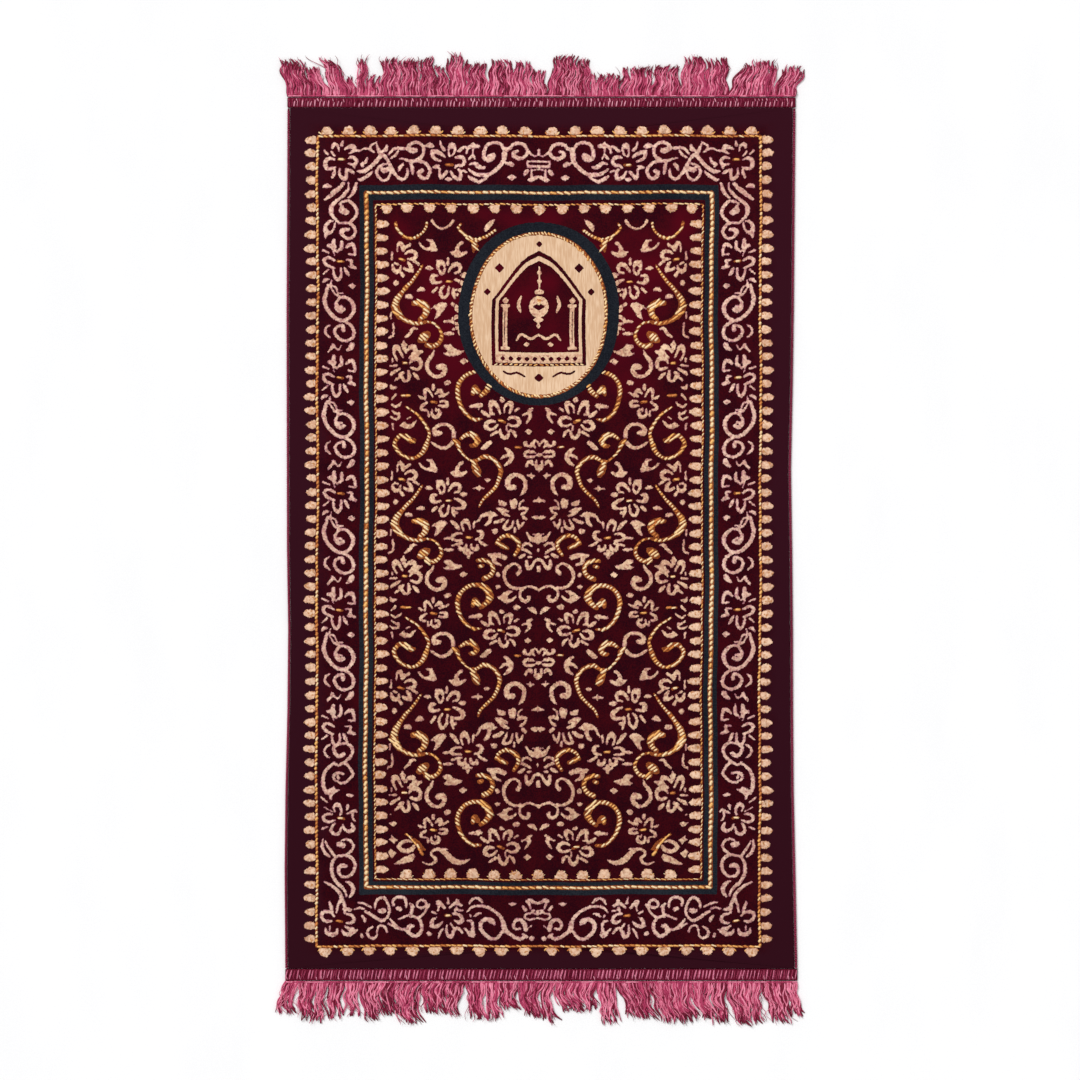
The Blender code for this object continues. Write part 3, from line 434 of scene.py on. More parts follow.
class Chart:
    """A chart of knots for the rug's left half, counted outwards from the middle line."""

    def __init__(self, columns: float, rows: Pair, cell: float) -> None:
        """Start an empty chart of ground knots.

        Args:
            columns: How many knots it reaches out from the middle line.
            rows: Its first and last row.
            cell: The size of one square of the chart, in knots.
        """
        self.cell = cell
        self.first_row = rows[0]
        self.u = np.arange(cell / 2, columns, cell)
        self.v = np.arange(rows[0] + cell / 2, rows[1], cell)
        self.threads = np.full((len(self.v), len(self.u)), Thread.GROUND, np.uint8)

    def _window(self, box: tuple[float, float, float, float]) -> tuple[slice, slice]:
        """The squares inside a box of (lowest column, highest column, lowest row, highest row)."""
        first = max(0, int(box[0] / self.cell) - 1)
        last = max(0, int(box[1] / self.cell) + 2)
        top = max(0, int((box[2] - self.first_row) / self.cell) - 1)
        bottom = max(0, int((box[3] - self.first_row) / self.cell) + 2)
        return slice(top, bottom), slice(first, last)

    def stroke(self, *points: Knot, thread: Thread = Thread.BEIGE, grow: float = 0.0,
               bent: bool = True) -> None:
        """Draw a brush stroke that swells and thins between its points.

        Args:
            points: The points that it passes through, each with its width.
            thread: The thread that it is drawn in.
            grow: How much wider than stated the stroke is drawn.
            bent: Whether the stroke curves through its points or runs straight between them.
        """
        path = smooth_path(points) if bent else np.array(points, float)
        for (u0, v0, w0), (u1, v1, w1) in zip(path, path[1:]):
            reach = max(w0, w1) / 2 + grow + 0.5
            window = self._window((min(u0, u1) - reach, max(u0, u1) + reach,
                                   min(v0, v1) - reach, max(v0, v1) + reach))
            v, u = self.v[window[0]][:, None], self.u[window[1]][None, :]
            du, dv = u1 - u0, v1 - v0
            t = np.clip(((u - u0) * du + (v - v0) * dv) / max(du * du + dv * dv, 1e-9), 0, 1)
            away = np.hypot(u - u0 - t * du, v - v0 - t * dv)
            self.threads[window][away <= (w0 + (w1 - w0) * t) / 2 + grow] = thread

    def oval(self, u: float, v: float, half_u: float, half_v: float, thread: Thread = Thread.BEIGE,
             power: float = 2.0) -> None:
        """Fill an oval, or a lozenge where power is 1.

        Args:
            u: The column of its centre.
            v: The row of its centre.
            half_u: Half its width.
            half_v: Half its height.
            thread: The thread that it is drawn in.
            power: How square it is, from 1 for a lozenge.
        """
        window = self._window((u - half_u, u + half_u, v - half_v, v + half_v))
        across = np.abs((self.u[window[1]][None, :] - u) / half_u)
        down = np.abs((self.v[window[0]][:, None] - v) / half_v)
        self.threads[window][across ** power + down ** power <= 1] = thread

    def band(self, columns: Pair, rows: Pair, thread: Thread) -> None:
        """Fill a rectangle of knots."""
        inside = ((self.u[None, :] >= columns[0]) & (self.u[None, :] < columns[1])
                  & (self.v[:, None] >= rows[0]) & (self.v[:, None] < rows[1]))
        self.threads[inside] = thread

    def motif(self, notation: str, shift: float = 0.0, until: float = math.inf, grow: float = 0.0) -> None:
        """Draw a motif.

        Args:
            notation: Its marks, as read_marks() takes them.
            shift: How many rows down it is moved.
            until: The row below which none of its marks starts.
            grow: How much wider than written its strokes are drawn.
        """
        for mark in read_marks(notation):
            moved = tuple((point[0], point[1] + shift, *point[2:]) for point in mark.points)
            if moved[0][1] > until:
                continue
            if mark.straight:
                self.fill(moved, mark.thread)
            else:
                self.stroke(*moved, thread=mark.thread, grow=grow)

    def fill(self, corners: tuple[Pair, ...], thread: Thread = Thread.BEIGE) -> None:
        """Fill a straight-sided shape.

        Args:
            corners: Its corners in order, as (column, row).
            thread: The thread that it is drawn in.
        """
        shape = np.array(corners, float)
        window = self._window((*np.sort(shape[:, 0])[[0, -1]], *np.sort(shape[:, 1])[[0, -1]]))
        v, u = self.v[window[0]][:, None], self.u[window[1]][None, :]
        inside = np.zeros((v.shape[0], u.shape[1]), bool)
        for (u0, v0), (u1, v1) in zip(shape, np.roll(shape, -1, axis=0)):
            if v0 != v1:
                crossing = (v0 > v) != (v1 > v)
                inside ^= crossing & (u < (u1 - u0) * (v - v0) / (v1 - v0) + u0)
        self.threads[window][inside] = thread


class Tone(Enum):
    """How gold thread catches the light: its share of light stitches, and of light or middling ones."""

    PALE = (0.85, 0.98)
    GLOSSY = (0.74, 0.95)
    BRIGHT = (0.5, 0.88)
    WARM = (0.22, 0.72)


@dataclass(frozen=True)
class Scroll:
    """A line of gold thread on the chart, laid in slanting stitches that all lean one way."""

    points: tuple[Knot, ...]
    lean: float = 38.0
    spacing: float = 2.9
    slim: float = 2.3
    tone: Tone = Tone.GLOSSY


def dash(u: float, v: float, end_u: float, end_v: float, width: float = 2.2) -> Scroll:
    """A short dash of gold, such as a flower's heart."""
    return Scroll(((u, v, width), (end_u, end_v, width)), lean=4.0, spacing=2.4, slim=2.5, tone=Tone.WARM)


def read_scrolls(notation: str) -> tuple[Scroll, ...]:
    """Read gold scrolls from notation."""
    return tuple(Scroll(mark.points) for mark in read_marks(notation))


@dataclass
class FieldPattern:
    """The all-over pattern of scrolls and blossoms, whose one repeat is charted above."""

    first_row: float = 425.0
    repeat: float = 209.0
    half_width: float = 150.5
    rows: Pair = (237.5, 867.0)
    # The chart row below which no new repeat begins.
    foot_row: float = 843.0
    # How slim scrolls are beside their notation, and how far their gold ground spreads past them as a painted
    # shadow edge.
    slimming: float = 0.92
    gold_shadow_margin: float = 0.3
    # Where the loom packed the rows looser or tighter: chart row, then row on the rug.
    beat: tuple[Pair, ...] = (
        (206, 195), (216, 205), (256, 245), (276, 265), (295, 285), (314, 305), (351.5, 345),
        (369, 365), (389, 385), (407, 405), (425, 425), (634, 634), (654, 653), (674, 673.5),
        (694, 693.5), (714, 714), (734, 739), (754, 759.5), (774, 780), (794, 802), (814, 822),
        (834, 841), (843, 850.5), (884, 892))
    scrolls: tuple[Scroll, ...] = (
        *read_scrolls(FIELD_SCROLLS),
        dash(140, 479, 135, 481), dash(93, 501, 88.5, 501), dash(72, 537.5, 67, 538), dash(24, 447, 19, 447),
        dash(136, 576.5, 132, 577), dash(107.5, 613.5, 102.5, 614), dash(40.5, 629.5, 35, 631.5),
        dash(137, 608, 130, 608, 2.4))
    head_scrolls: tuple[Scroll, ...] = read_scrolls(HEAD_SCROLLS)
    foot_scroll: Scroll = Scroll(((132, 834, 1.2), (125, 841, 2.0), (119.5, 848, 2.6), (116, 854.5, 3)),
                                 lean=52.0, spacing=2.1, slim=2.8, tone=Tone.WARM)
    # The columns and rows cleared at the field's lower corners before FIELD_FOOT is drawn.
    cleared: tuple[tuple[Pair, Pair], ...] = (
        ((128.5, 151.5), (816, 833)), ((140, 151.5), (833, 862)), ((124.5, 140), (838, 862)))
    # No gold is laid there beyond a column and between two rows.
    bare_corner: tuple[float, float, float] = (128.0, 816.0, 833.0)

    def row_on_rug(self, chart_row: Array | float) -> Array | float:
        """The row of the rug where an unrolled chart row was beaten to."""
        chart, rug = zip(*self.beat)
        return np.interp(chart_row, chart, rug)

    def chart_row(self, rug_row: Array | float) -> Array | float:
        """The unrolled chart row that a row of the rug shows."""
        chart, rug = zip(*self.beat)
        return np.interp(rug_row, rug, chart)

    def draw_repeat(self, cell: float, shifts: tuple[int, ...]) -> Chart:
        """Chart one repeat, with what crosses its ends.

        Args:
            cell: The size of one square of the chart, in knots.
            shifts: Which repeats are drawn into it: -1 the one above, 0 its own, 1 the one below.

        Returns:
            The chart, a repeat long and half the field wide.
        """
        one = Chart(self.half_width, (self.first_row, self.first_row + self.repeat), cell)
        for shift in (self.repeat * turn for turn in shifts):
            for motifs, grow in FIELD_MOTIFS:
                one.motif(motifs, shift, grow=grow)
            for scroll in self.scrolls:
                moved = [(u, v + shift, w * self.slimming) for u, v, w in scroll.points]
                one.stroke(*moved, thread=Thread.GOLD, grow=self.gold_shadow_margin)
        return one

    def weave(self, chart: Chart) -> None:
        """Weave the repeats down the field of the rug's own chart."""
        last = float(self.row_on_rug(self.foot_row))
        for rows, shifts in (((self.rows[0], last), (-1, 0, 1)), ((last, self.rows[1]), (-1,))):
            one = self.draw_repeat(chart.cell / 2, shifts)
            into = np.nonzero((chart.v >= rows[0]) & (chart.v < rows[1]))[0]
            columns = np.nonzero(chart.u < self.half_width)[0]
            within = np.mod(self.chart_row(chart.v[into]) - self.first_row, self.repeat)
            pick_v = np.clip((within / one.cell).astype(int), 0, one.threads.shape[0] - 1)
            pick_u = np.clip((chart.u[columns] / one.cell).astype(int), 0, one.threads.shape[1] - 1)
            chart.threads[np.ix_(into, columns)] = one.threads[np.ix_(pick_v, pick_u)]
        for columns, rows in self.cleared:
            chart.band(columns, rows, Thread.GROUND)
        chart.motif(FIELD_HEAD)
        chart.motif(FIELD_FOOT)
        for scroll in (*self.head_scrolls, self.foot_scroll):
            chart.stroke(*scroll.points, thread=Thread.GOLD)


@dataclass(frozen=True)
class TwistedLine:
    """A frame of twisted gold thread: where it runs, and its stitches along and across the rug."""

    column: float
    rows: Pair
    width: float
    side_stitch: tuple[float, float, float]
    end_stitch: tuple[float, float, float]
    tone: Tone
    # How wide its stitches are at the foot, beside those at the head.
    foot: float = 1.0


@dataclass
class BorderPattern:
    """The frames of the rug: its toothed gold lines, slate bands and flowered border."""

    outer: TwistedLine = TwistedLine(221.5, (136.0, 946.0), 2.8, (4.2, 2.2, 1.25), (5.4, 3.0, 1.0), Tone.WARM)
    rope: TwistedLine = TwistedLine(172.4, (192.5, 887.5), 4.5, (5.6, 2.9, 1.65), (6.8, 3.7, 1.3), Tone.PALE)
    inner: TwistedLine = TwistedLine(163.2, (204.4, 879.5), 1.4, (4.3, 2.1, 0.64), (5.4, 2.9, 0.85),
                                     Tone.BRIGHT, 0.6)
    # How wide a line's ground is across the rug, beside its width along it.
    end_thinning: float = 0.74
    slate: Pair = (166.0, 179.5)
    slate_rows: Pair = (185.0, 895.0)
    slate_depths: Pair = (15.2, 13.5)
    flower_rows: tuple[float, ...] = (258.0, 374.4, 490.0, 606.5, 723.5)
    charted_flower_row: float = 490.0
    last_flower_row: float = 741.0
    swell: float = 0.1
    # A tooth's half width at each distance from its foot, along the sides and at the ends.
    outer_tooth: tuple[Pair, ...] = ((1.2, 3.0), (3.6, 4.3), (7.5, 4.4), (10.6, 3.2), (12.9, 1.2))
    inner_tooth: tuple[Pair, ...] = ((0.3, 3.9), (3, 4.3), (8, 4.0), (11, 3.0), (13.2, 1.3))
    end_tooth: tuple[Pair, ...] = ((0.4, 6.2), (3.2, 6.6), (6.4, 6.0), (8.8, 4.4), (10.2, 2.4))
    # Where the side teeth start and stop inside a line's ends, and how far apart they are.
    outer_run: tuple[float, float, float] = (3.2, 0.0, 13.55)
    inner_run: tuple[float, float, float] = (19.6, 8.0, 13.45)
    end_teeth: tuple[float, ...] = (213, 190.5, 169, 148, 125.5, 103, 81, 58.5, 36.5, 13.5)
    field_end_teeth: tuple[float, ...] = (152.5, 132, 109.5, 88, 66, 44.5, 23, 0)
    # How teeth differ: in length as a whole, in lean over a length, and point by point.
    tooth_stretch: Pair = (0.9, 1.05)
    tooth_slip: Pair = (0.6, 12.0)
    point_stretch: Pair = (0.94, 1.06)
    point_spread: Pair = (0.8, 1.12)
    seed: int = 5
    # How far a heart's gold ground spreads past it, as a painted shadow edge.
    heart_shadow_margin: float = 0.2
    dashes: tuple[Scroll, ...] = (
        dash(200, 159.5, 194, 159.5), dash(92, 165, 86, 165, 2.4), dash(200, 817, 194, 818),
        dash(201, 920, 196, 921), dash(92, 916, 87, 916.5, 2.4),
        *(dash(201.5, base + 3, 196, base + 3.5) for base in (258.0, 374.4, 490.0, 606.5)))

    def outer_end_rows(self) -> tuple[tuple, ...]:
        """The rows of teeth beyond the outer line: columns, the line's row, way and size."""
        top, bottom = self.outer.rows
        return (self.end_teeth, top, -1, 1.0), (self.end_teeth, bottom, 1, 1.0)

    def field_end_rows(self) -> tuple[tuple, ...]:
        """The rows of teeth at the field's ends: columns, the line's row, way and size."""
        top, bottom = self.inner.rows
        return (self.field_end_teeth, top, 1, 0.9), (self.field_end_teeth[1:], bottom, -1, 1.0)

    def _tooth(self, chart: Chart, at: Pair, out: Pair, profile: tuple[Pair, ...],
               uneven: random.Random) -> None:
        """Draw one tooth.

        Args:
            chart: The chart to draw it on.
            at: The column and row of the middle of its foot.
            out: The way it points, as (columns, rows).
            profile: How wide its half is at each distance from its foot.
            uneven: The scatter that makes teeth differ.
        """
        slip_most, slip_over = self.tooth_slip
        stretch, slip = uneven.uniform(*self.tooth_stretch), uneven.uniform(-slip_most, slip_most)
        ring = [(far * stretch * uneven.uniform(*self.point_stretch),
                 way * half * uneven.uniform(*self.point_spread) + slip * far / slip_over)
                for way, run in ((1, profile), (-1, profile[::-1])) for far, half in run]
        chart.fill(tuple((at[0] + far * out[0] + half * out[1], at[1] + far * out[1] + half * out[0])
                         for far, half in ring), Thread.TOOTH)

    def _teeth(self, chart: Chart) -> None:
        """Draw the rows of teeth outside the outer line and inside the field."""
        uneven = random.Random(self.seed)
        for line, way, profile, (start, stop, pitch) in (
                (self.outer, 1, self.outer_tooth, self.outer_run),
                (self.inner, -1, self.inner_tooth, self.inner_run)):
            for row in np.arange(line.rows[0] + start, line.rows[1] - stop, pitch):
                self._tooth(chart, (line.column, row), (way, 0), profile, uneven)
        for columns, line, way, size in (*self.outer_end_rows(), *self.field_end_rows()):
            profile = tuple((far * size, half * size) for far, half in self.end_tooth)
            for column in columns:
                self._tooth(chart, (column, line), (0, way), profile, uneven)

    def weave(self, chart: Chart) -> None:
        """Draw every frame, band and border motif on the rug's chart."""
        for motifs in (TOP_CORNER, TOP_MIDDLE, SIDE_FOOT, FOOT_CORNER, FOOT_MIDDLE):
            chart.motif(motifs, grow=self.swell)
        for row in self.flower_rows:
            chart.motif(SIDE_FLOWER, row - self.charted_flower_row, self.last_flower_row, self.swell)
        for heart in self.dashes:
            chart.stroke(*heart.points, thread=Thread.GOLD, grow=self.heart_shadow_margin)
        self._teeth(chart)
        (top, bottom), (top_depth, bottom_depth) = self.slate_rows, self.slate_depths
        chart.band((0, self.slate[1]), (top, top + top_depth), Thread.SLATE)
        chart.band((0, self.slate[1]), (bottom - bottom_depth, bottom), Thread.SLATE)
        chart.band(self.slate, (top, bottom), Thread.SLATE)
        for line in (self.outer, self.rope, self.inner):
            self._line(chart, line)

    def _line(self, chart: Chart, line: TwistedLine) -> None:
        """Lay the ground of one gold line."""
        top, bottom = line.rows
        chart.stroke((line.column, top, line.width), (line.column, bottom, line.width),
                     thread=Thread.GOLD, bent=False)
        for row in line.rows:
            thin = line.width * self.end_thinning
            chart.stroke((0, row, thin), (line.column, row, thin), thread=Thread.GOLD, bent=False)


@dataclass
class Medallion:
    """The cream oval near the head end, with its slate ring and a plain arched niche inside."""

    centre_row: float = 314.4
    half: Pair = (69.3, 83.0)
    ring: Pair = (80.7, 91.6)
    ring_row: float = 313.2
    squareness: float = 2.05
    gold_width: float = 3.2
    # The niche's nested arches: half width, foot, spring and apex, with the thread inside each.
    arches: tuple[tuple[float, float, float, float, Thread], ...] = (
        (47, 366, 300, 250, Thread.GROUND), (43.6, 362.5, 300, 255, Thread.CREAM),
        (40.6, 352, 301, 260, Thread.GROUND))
    arch_steps: int = 9
    # How fast an arch closes in and how fast it rises, as powers of the way up.
    arch_curve: Pair = (0.62, 1.15)
    # Its sill and its columns: columns, rows and thread.
    bands: tuple[tuple[Pair, Pair, Thread], ...] = (
        ((0, 43.6), (354.5, 362.5), Thread.BEIGE), ((29, 38), (346.5, 349.5), Thread.BEIGE),
        ((29, 38), (304.5, 307.5), Thread.BEIGE), ((31.4, 35.6), (307, 347), Thread.BEIGE),
        ((33.1, 33.9), (311, 343), Thread.GROUND))
    # Beads, lamp and stars: centre column and row, half width and height, squareness, thread.
    ovals: tuple[tuple[float, float, float, float, float, Thread], ...] = (
        *((column, 358.5, 2.8, 2.6, 1.1, Thread.GROUND) for column in range(4, 44, 8)),
        (33.5, 300.5, 3.4, 3.4, 1.2, Thread.BEIGE), (0, 272, 2.6, 2.2, 2, Thread.BEIGE),
        (0, 281, 2.6, 2.2, 2, Thread.BEIGE), (0, 291.5, 4.6, 2.4, 3, Thread.BEIGE),
        (0, 306, 9.6, 10.4, 2.2, Thread.BEIGE), (0, 306, 6.2, 3.6, 1.2, Thread.GROUND),
        (0, 319, 5, 3, 1.4, Thread.BEIGE), (0, 325, 2, 3.4, 1.2, Thread.BEIGE),
        (12, 344, 3, 2.4, 1.3, Thread.BEIGE), (40, 268, 5.2, 5.2, 0.9, Thread.GROUND),
        (52, 292, 4.2, 4.2, 0.9, Thread.GROUND), (0, 243.5, 3.6, 3.6, 0.9, Thread.GROUND),
        (0, 377, 5, 4.2, 1.1, Thread.GROUND))

    def hides(self, column: Array | float, row: Array | float, margin: float = 1.09) -> Array | bool:
        """Whether the medallion covers a place of the field, with the ring's edge at margin 1."""
        return (column / self.ring[0]) ** 2 + ((row - self.ring_row) / self.ring[1]) ** 2 < margin

    def weave(self, chart: Chart) -> None:
        """Draw the oval and its niche on the rug's chart."""
        near = self.hides(chart.u[None, :], chart.v[:, None])
        chart.threads[near & (chart.threads == Thread.GOLD)] = Thread.GROUND
        chart.oval(0, self.ring_row, *self.ring, thread=Thread.SLATE, power=self.squareness)
        chart.oval(0, self.centre_row, *self.half, thread=Thread.GOLD, power=self.squareness)
        chart.oval(0, self.centre_row, self.half[0] - self.gold_width, self.half[1] - self.gold_width,
                   thread=Thread.CREAM, power=self.squareness)
        self._niche(chart)

    def _arch(self, reach: float, foot: float, spring: float, apex: float) -> tuple:
        """The outline of a pointed arch, from its foot up to its point, as (column, row)."""
        closing, rising = self.arch_curve
        curve = ((reach * (1 - share) ** closing, spring - (spring - apex) * share ** rising)
                 for share in (step / self.arch_steps for step in range(self.arch_steps + 1)))
        return ((0, foot), (reach, foot), *curve)

    def _niche(self, chart: Chart) -> None:
        """Draw an arched niche with a hanging lamp between two columns."""
        for *arch, thread in self.arches:
            chart.fill(self._arch(*arch), thread)
        for columns, rows, thread in self.bands:
            chart.band(columns, rows, thread)
        for column, row, half_u, half_v, power, thread in self.ovals:
            chart.oval(column, row, half_u, half_v, thread, power)
        chart.motif(NICHE_LINES)


@dataclass(frozen=True)
class Drift:
    """Where painted sheen and shade change the pile's colour over the rug, in metres from its middle."""

    # From where to where the purplish painted sheen of the margin comes in: at the sides, its waver, and at
    # the ends.
    margin: Pair = (0.31, 0.35)
    margin_waver: float = 0.05
    ends: Pair = (0.556, 0.574)
    # The painted sheen glowing up the field: clouds to a metre, their contrast, and where it fades in and
    # out.
    cloud_scale: Colour = (11.0, 11.0, 11.0)
    clouds: Pair = (0.42, 0.66)
    glow_foot: Pair = (0.02, 0.34)
    glow_head: Pair = (0.462, 0.446)
    glow_sides: Pair = (0.222, 0.206)
    # From where to where painted light brightens the pile towards the head.
    painted_light_span: Pair = (-0.55, 0.5)


DRIFT = Drift()


@dataclass(frozen=True)
class Finish:
    """A textile surface: its colours, its sheen and how its threads mottle it."""

    name: str
    light: Colour
    dark: Colour
    roughness: float = 0.9
    sheen: float = 0.0
    # How many grains and patches there are to a metre along X, Y and Z. On the pile the slow patches are
    # painted nap shading and sheen streaks.
    grain: Colour = (620.0, 620.0, 620.0)
    patch: Colour = (14.0, 5.0, 14.0)
    bump: float = 0.35
    depth: float = 0.0004
    shine: float = 0.25
    fleck: Colour | None = None
    # The painted sheen colours at the margin and up the field, and how bright the painted shade leaves the
    # foot beside the head.
    edge: Colour | None = None
    sheen_glow: Colour | None = None
    foot: float = 1.0
    # How much of the mottling is grain, and the contrast of the mottling and of the flecks.
    grain_share: float = 0.62
    contrast: Pair = (0.36, 0.64)
    fleck_scale: float = 0.8
    fleck_contrast: Pair = (0.55, 0.68)
    sheen_roughness: float = 0.45

    def make(self) -> bpy.types.Material:
        """Build the material.

        Returns:
            A procedural material on Object coordinates.
        """
        desk = NodeDesk(self.name)
        where = desk.add("ShaderNodeTexCoord").outputs["Object"]
        fine = desk.noise(where, self.grain, 2.0)
        # The slow patches: on the pile, painted nap shading and sheen streaks mixed into the knots' own
        # mottle.
        slow = desk.noise(where, self.patch, 3.0)
        both = desk.maths("ADD", desk.maths("MULTIPLY", fine, self.grain_share),
                          desk.maths("MULTIPLY", slow, 1 - self.grain_share))
        colour = desk.mix(desk.spread(both, *self.contrast), self.dark, self.light)
        if self.fleck:
            spots = desk.noise(where, tuple(self.fleck_scale * scale for scale in self.grain), 1.0)
            colour = desk.mix(desk.spread(spots, *self.fleck_contrast), colour, self.fleck)
        # A foot below 1 brings in painted shade towards the foot, and on the ground painted sheen as well.
        if self.foot < 1:
            colour = self._paint_sheen_and_shade(desk, where, colour, slow)
        desk.link(colour, desk.shader.inputs["Base Color"])
        bump = desk.add("ShaderNodeBump")
        desk.link(fine, bump.inputs["Height"])
        desk.link(bump.outputs["Normal"], desk.shader.inputs["Normal"])
        for node, settings in (
                (bump, {"Strength": self.bump, "Distance": self.depth}),
                (desk.shader, {"Roughness": self.roughness, "Sheen Weight": self.sheen,
                               "Sheen Roughness": self.sheen_roughness,
                               "Sheen Tint": (*linear(self.light), 1.0), "Specular IOR Level": self.shine})):
            for socket, value in settings.items():
                node.inputs[socket].default_value = value
        return desk.material

    def _paint_sheen_and_shade(self, desk: "NodeDesk", where: Socket, colour: Socket, slow: Socket) -> Socket:
        """Paint shade that darkens the pile towards the foot, and paint sheen that turns it purplish at the
        long edges and brightens it in redder clouds up the field.

        Args:
            desk: The material's nodes.
            where: The place on the rug.
            colour: The colour so far.
            slow: A slow noise that makes the change uneven.

        Returns:
            The colour with its painted sheen and shade.
        """
        parts = desk.add("ShaderNodeSeparateXYZ")
        desk.link(where, parts.inputs[0])
        # Painted sheen: purplish towards the margins, and redder clouds up the field.
        if self.edge:
            across = desk.maths("ABSOLUTE", parts.outputs["X"])
            uneven = desk.maths("ADD", across, desk.maths("MULTIPLY", slow, DRIFT.margin_waver))
            ends = desk.spread(desk.maths("ABSOLUTE", parts.outputs["Y"]), *DRIFT.ends)
            margin = desk.maths("MAXIMUM", desk.spread(uneven, *DRIFT.margin), ends)
            colour = desk.mix(margin, colour, self.edge)
            clouds = desk.spread(desk.noise(where, DRIFT.cloud_scale, 2.0), *DRIFT.clouds)
            upper = desk.maths("MULTIPLY", desk.spread(parts.outputs["Y"], *DRIFT.glow_foot),
                               desk.spread(parts.outputs["Y"], *DRIFT.glow_head))
            inner = desk.maths("MULTIPLY", desk.spread(across, *DRIFT.glow_sides), upper)
            colour = desk.mix(desk.maths("MULTIPLY", clouds, inner), colour, self.sheen_glow)
        # Painted shade: the colour darkens from the head to the foot.
        shade = desk.add("ShaderNodeHueSaturation")
        desk.link(desk.spread(parts.outputs["Y"], *DRIFT.painted_light_span, self.foot, 1.0), shade.inputs["Value"])
        desk.link(colour, shade.inputs["Color"])
        return shade.outputs["Color"]


def linear(colour: Colour) -> Colour:
    """Turn a colour as the eye reads it, 0 to 255, into the linear light that shaders use."""
    return tuple(((c / 255 + 0.055) / 1.055) ** 2.4 if c > 10 else c / 255 / 12.92 for c in colour)


class NodeDesk:
    """Lays out the nodes of one material."""

    def __init__(self, name: str) -> None:
        """Start a material with its shader."""
        self.material = bpy.data.materials.new(name)
        self.material.use_nodes = True
        self.shader = self.material.node_tree.nodes["Principled BSDF"]

    def add(self, kind: str) -> bpy.types.Node:
        """Add a node of a kind."""
        return self.material.node_tree.nodes.new(kind)

    def link(self, source: Socket, target: Socket) -> None:
        """Join two sockets."""
        self.material.node_tree.links.new(source, target)

    def _feed(self, value: Socket | Colour | float, socket: Socket) -> None:
        """Give a socket a link, a colour or a number."""
        if isinstance(value, Socket):
            self.link(value, socket)
        elif isinstance(value, tuple):
            socket.default_value = (*linear(value), 1.0)
        else:
            socket.default_value = value

    def noise(self, where: Socket, scale: Colour, detail: float) -> Socket:
        """A cloudy value between 0 and 1.

        Args:
            where: The place to read it at.
            scale: How many clouds there are to a metre along X, Y and Z.
            detail: How many finer layers it has.

        Returns:
            The value's socket.
        """
        mapping = self.add("ShaderNodeMapping")
        mapping.inputs["Scale"].default_value = scale
        self.link(where, mapping.inputs["Vector"])
        clouds = self.add("ShaderNodeTexNoise")
        clouds.inputs["Scale"].default_value = 1.0
        clouds.inputs["Detail"].default_value = detail
        self.link(mapping.outputs["Vector"], clouds.inputs["Vector"])
        return clouds.outputs["Fac"]

    def maths(self, operation: str, first: Socket | float, second: Socket | float = 0.0) -> Socket:
        """The result of a sum on one or two values."""
        node = self.add("ShaderNodeMath")
        node.operation = operation
        self._feed(first, node.inputs[0])
        self._feed(second, node.inputs[1])
        return node.outputs[0]

    def spread(self, value: Socket, low: float, high: float, start: float = 0.0, stop: float = 1.0) -> Socket:
        """Stretch the values between low and high to run smoothly from start to stop."""
        node = self.add("ShaderNodeMapRange")
        node.interpolation_type = "SMOOTHSTEP"
        node.inputs["From Min"].default_value = low
        node.inputs["From Max"].default_value = high
        node.inputs["To Min"].default_value = start
        node.inputs["To Max"].default_value = stop
        self.link(value, node.inputs["Value"])
        return node.outputs["Result"]

    def mix(self, share: Socket, first: Socket | Colour, second: Socket | Colour) -> Socket:
        """Mix two colours by a share of the second."""
        node = self.add("ShaderNodeMix")
        node.data_type = "RGBA"
        self.link(share, node.inputs["Factor"])
        self._feed(first, node.inputs[6])
        self._feed(second, node.inputs[7])
        return node.outputs[2]


FLUFF = (330.0, 330.0, 330.0)
YARN_GRAIN = (1500.0, 160.0, 1500.0)
YARN_PATCH = (90.0, 60.0, 90.0)
PILE_FINISHES = (
    # The ground's edge colour is painted sheen at the margin and its glow colour painted sheen up the field;
    # a foot below 1 here and below paints shade towards the foot.
    Finish("maroon_pile", (66, 10, 18), (39, 7, 17), 0.95, patch=(34.0, 26.0, 34.0), edge=(53, 17, 28),
           foot=0.82, shine=0.01, sheen_glow=(82, 8, 22)),
    Finish("beige_pile", (240, 203, 168), (200, 150, 122), grain=FLUFF, foot=0.84, shine=0.03,
           fleck=(180, 124, 108)),
    Finish("slate_pile", (37, 41, 48), (22, 24, 31), 0.95, shine=0.01),
    Finish("cream_pile", (236, 202, 169), (213, 173, 137), grain=(520.0, 60.0, 520.0), shine=0.03),
    # The gold's brown ground, seen between and round the stitches: partly its own colour, partly painted
    # shadow.
    Finish("gold_ground", (162, 86, 42), (104, 48, 27), 0.8, shine=0.05, foot=0.88),
    Finish("backing_weave", (122, 84, 76), (92, 56, 54), 0.95))
# The raised motifs' pile, and its rim: a darker, pinker colour that is painted shade on the sloped edge,
# partly a blend with the ground's colour.
MOTIF_FINISHES = {
    "field_motifs": (PILE_FINISHES[Thread.BEIGE],
                     Finish("shaded_rim_pile", (203, 143, 138), (156, 95, 98), 0.95, grain=FLUFF, foot=0.84,
                            shine=0.02)),
    "border_motifs": (Finish("rosy_pile", (243, 206, 184), (203, 153, 136), grain=FLUFF, foot=0.84,
                             shine=0.03, fleck=(184, 128, 122)),
                      Finish("shaded_rosy_rim_pile", (206, 146, 151), (158, 95, 109), 0.95, grain=FLUFF, foot=0.84,
                             shine=0.02)),
    "tooth_rows": (Finish("tooth_pile", (245, 208, 178), (208, 158, 128), grain=FLUFF, foot=0.9, shine=0.03,
                          fleck=(196, 138, 92)),
                   Finish("shaded_tooth_rim_pile", (212, 156, 126), (164, 106, 86), 0.95, grain=FLUFF, foot=0.88,
                          shine=0.02))}
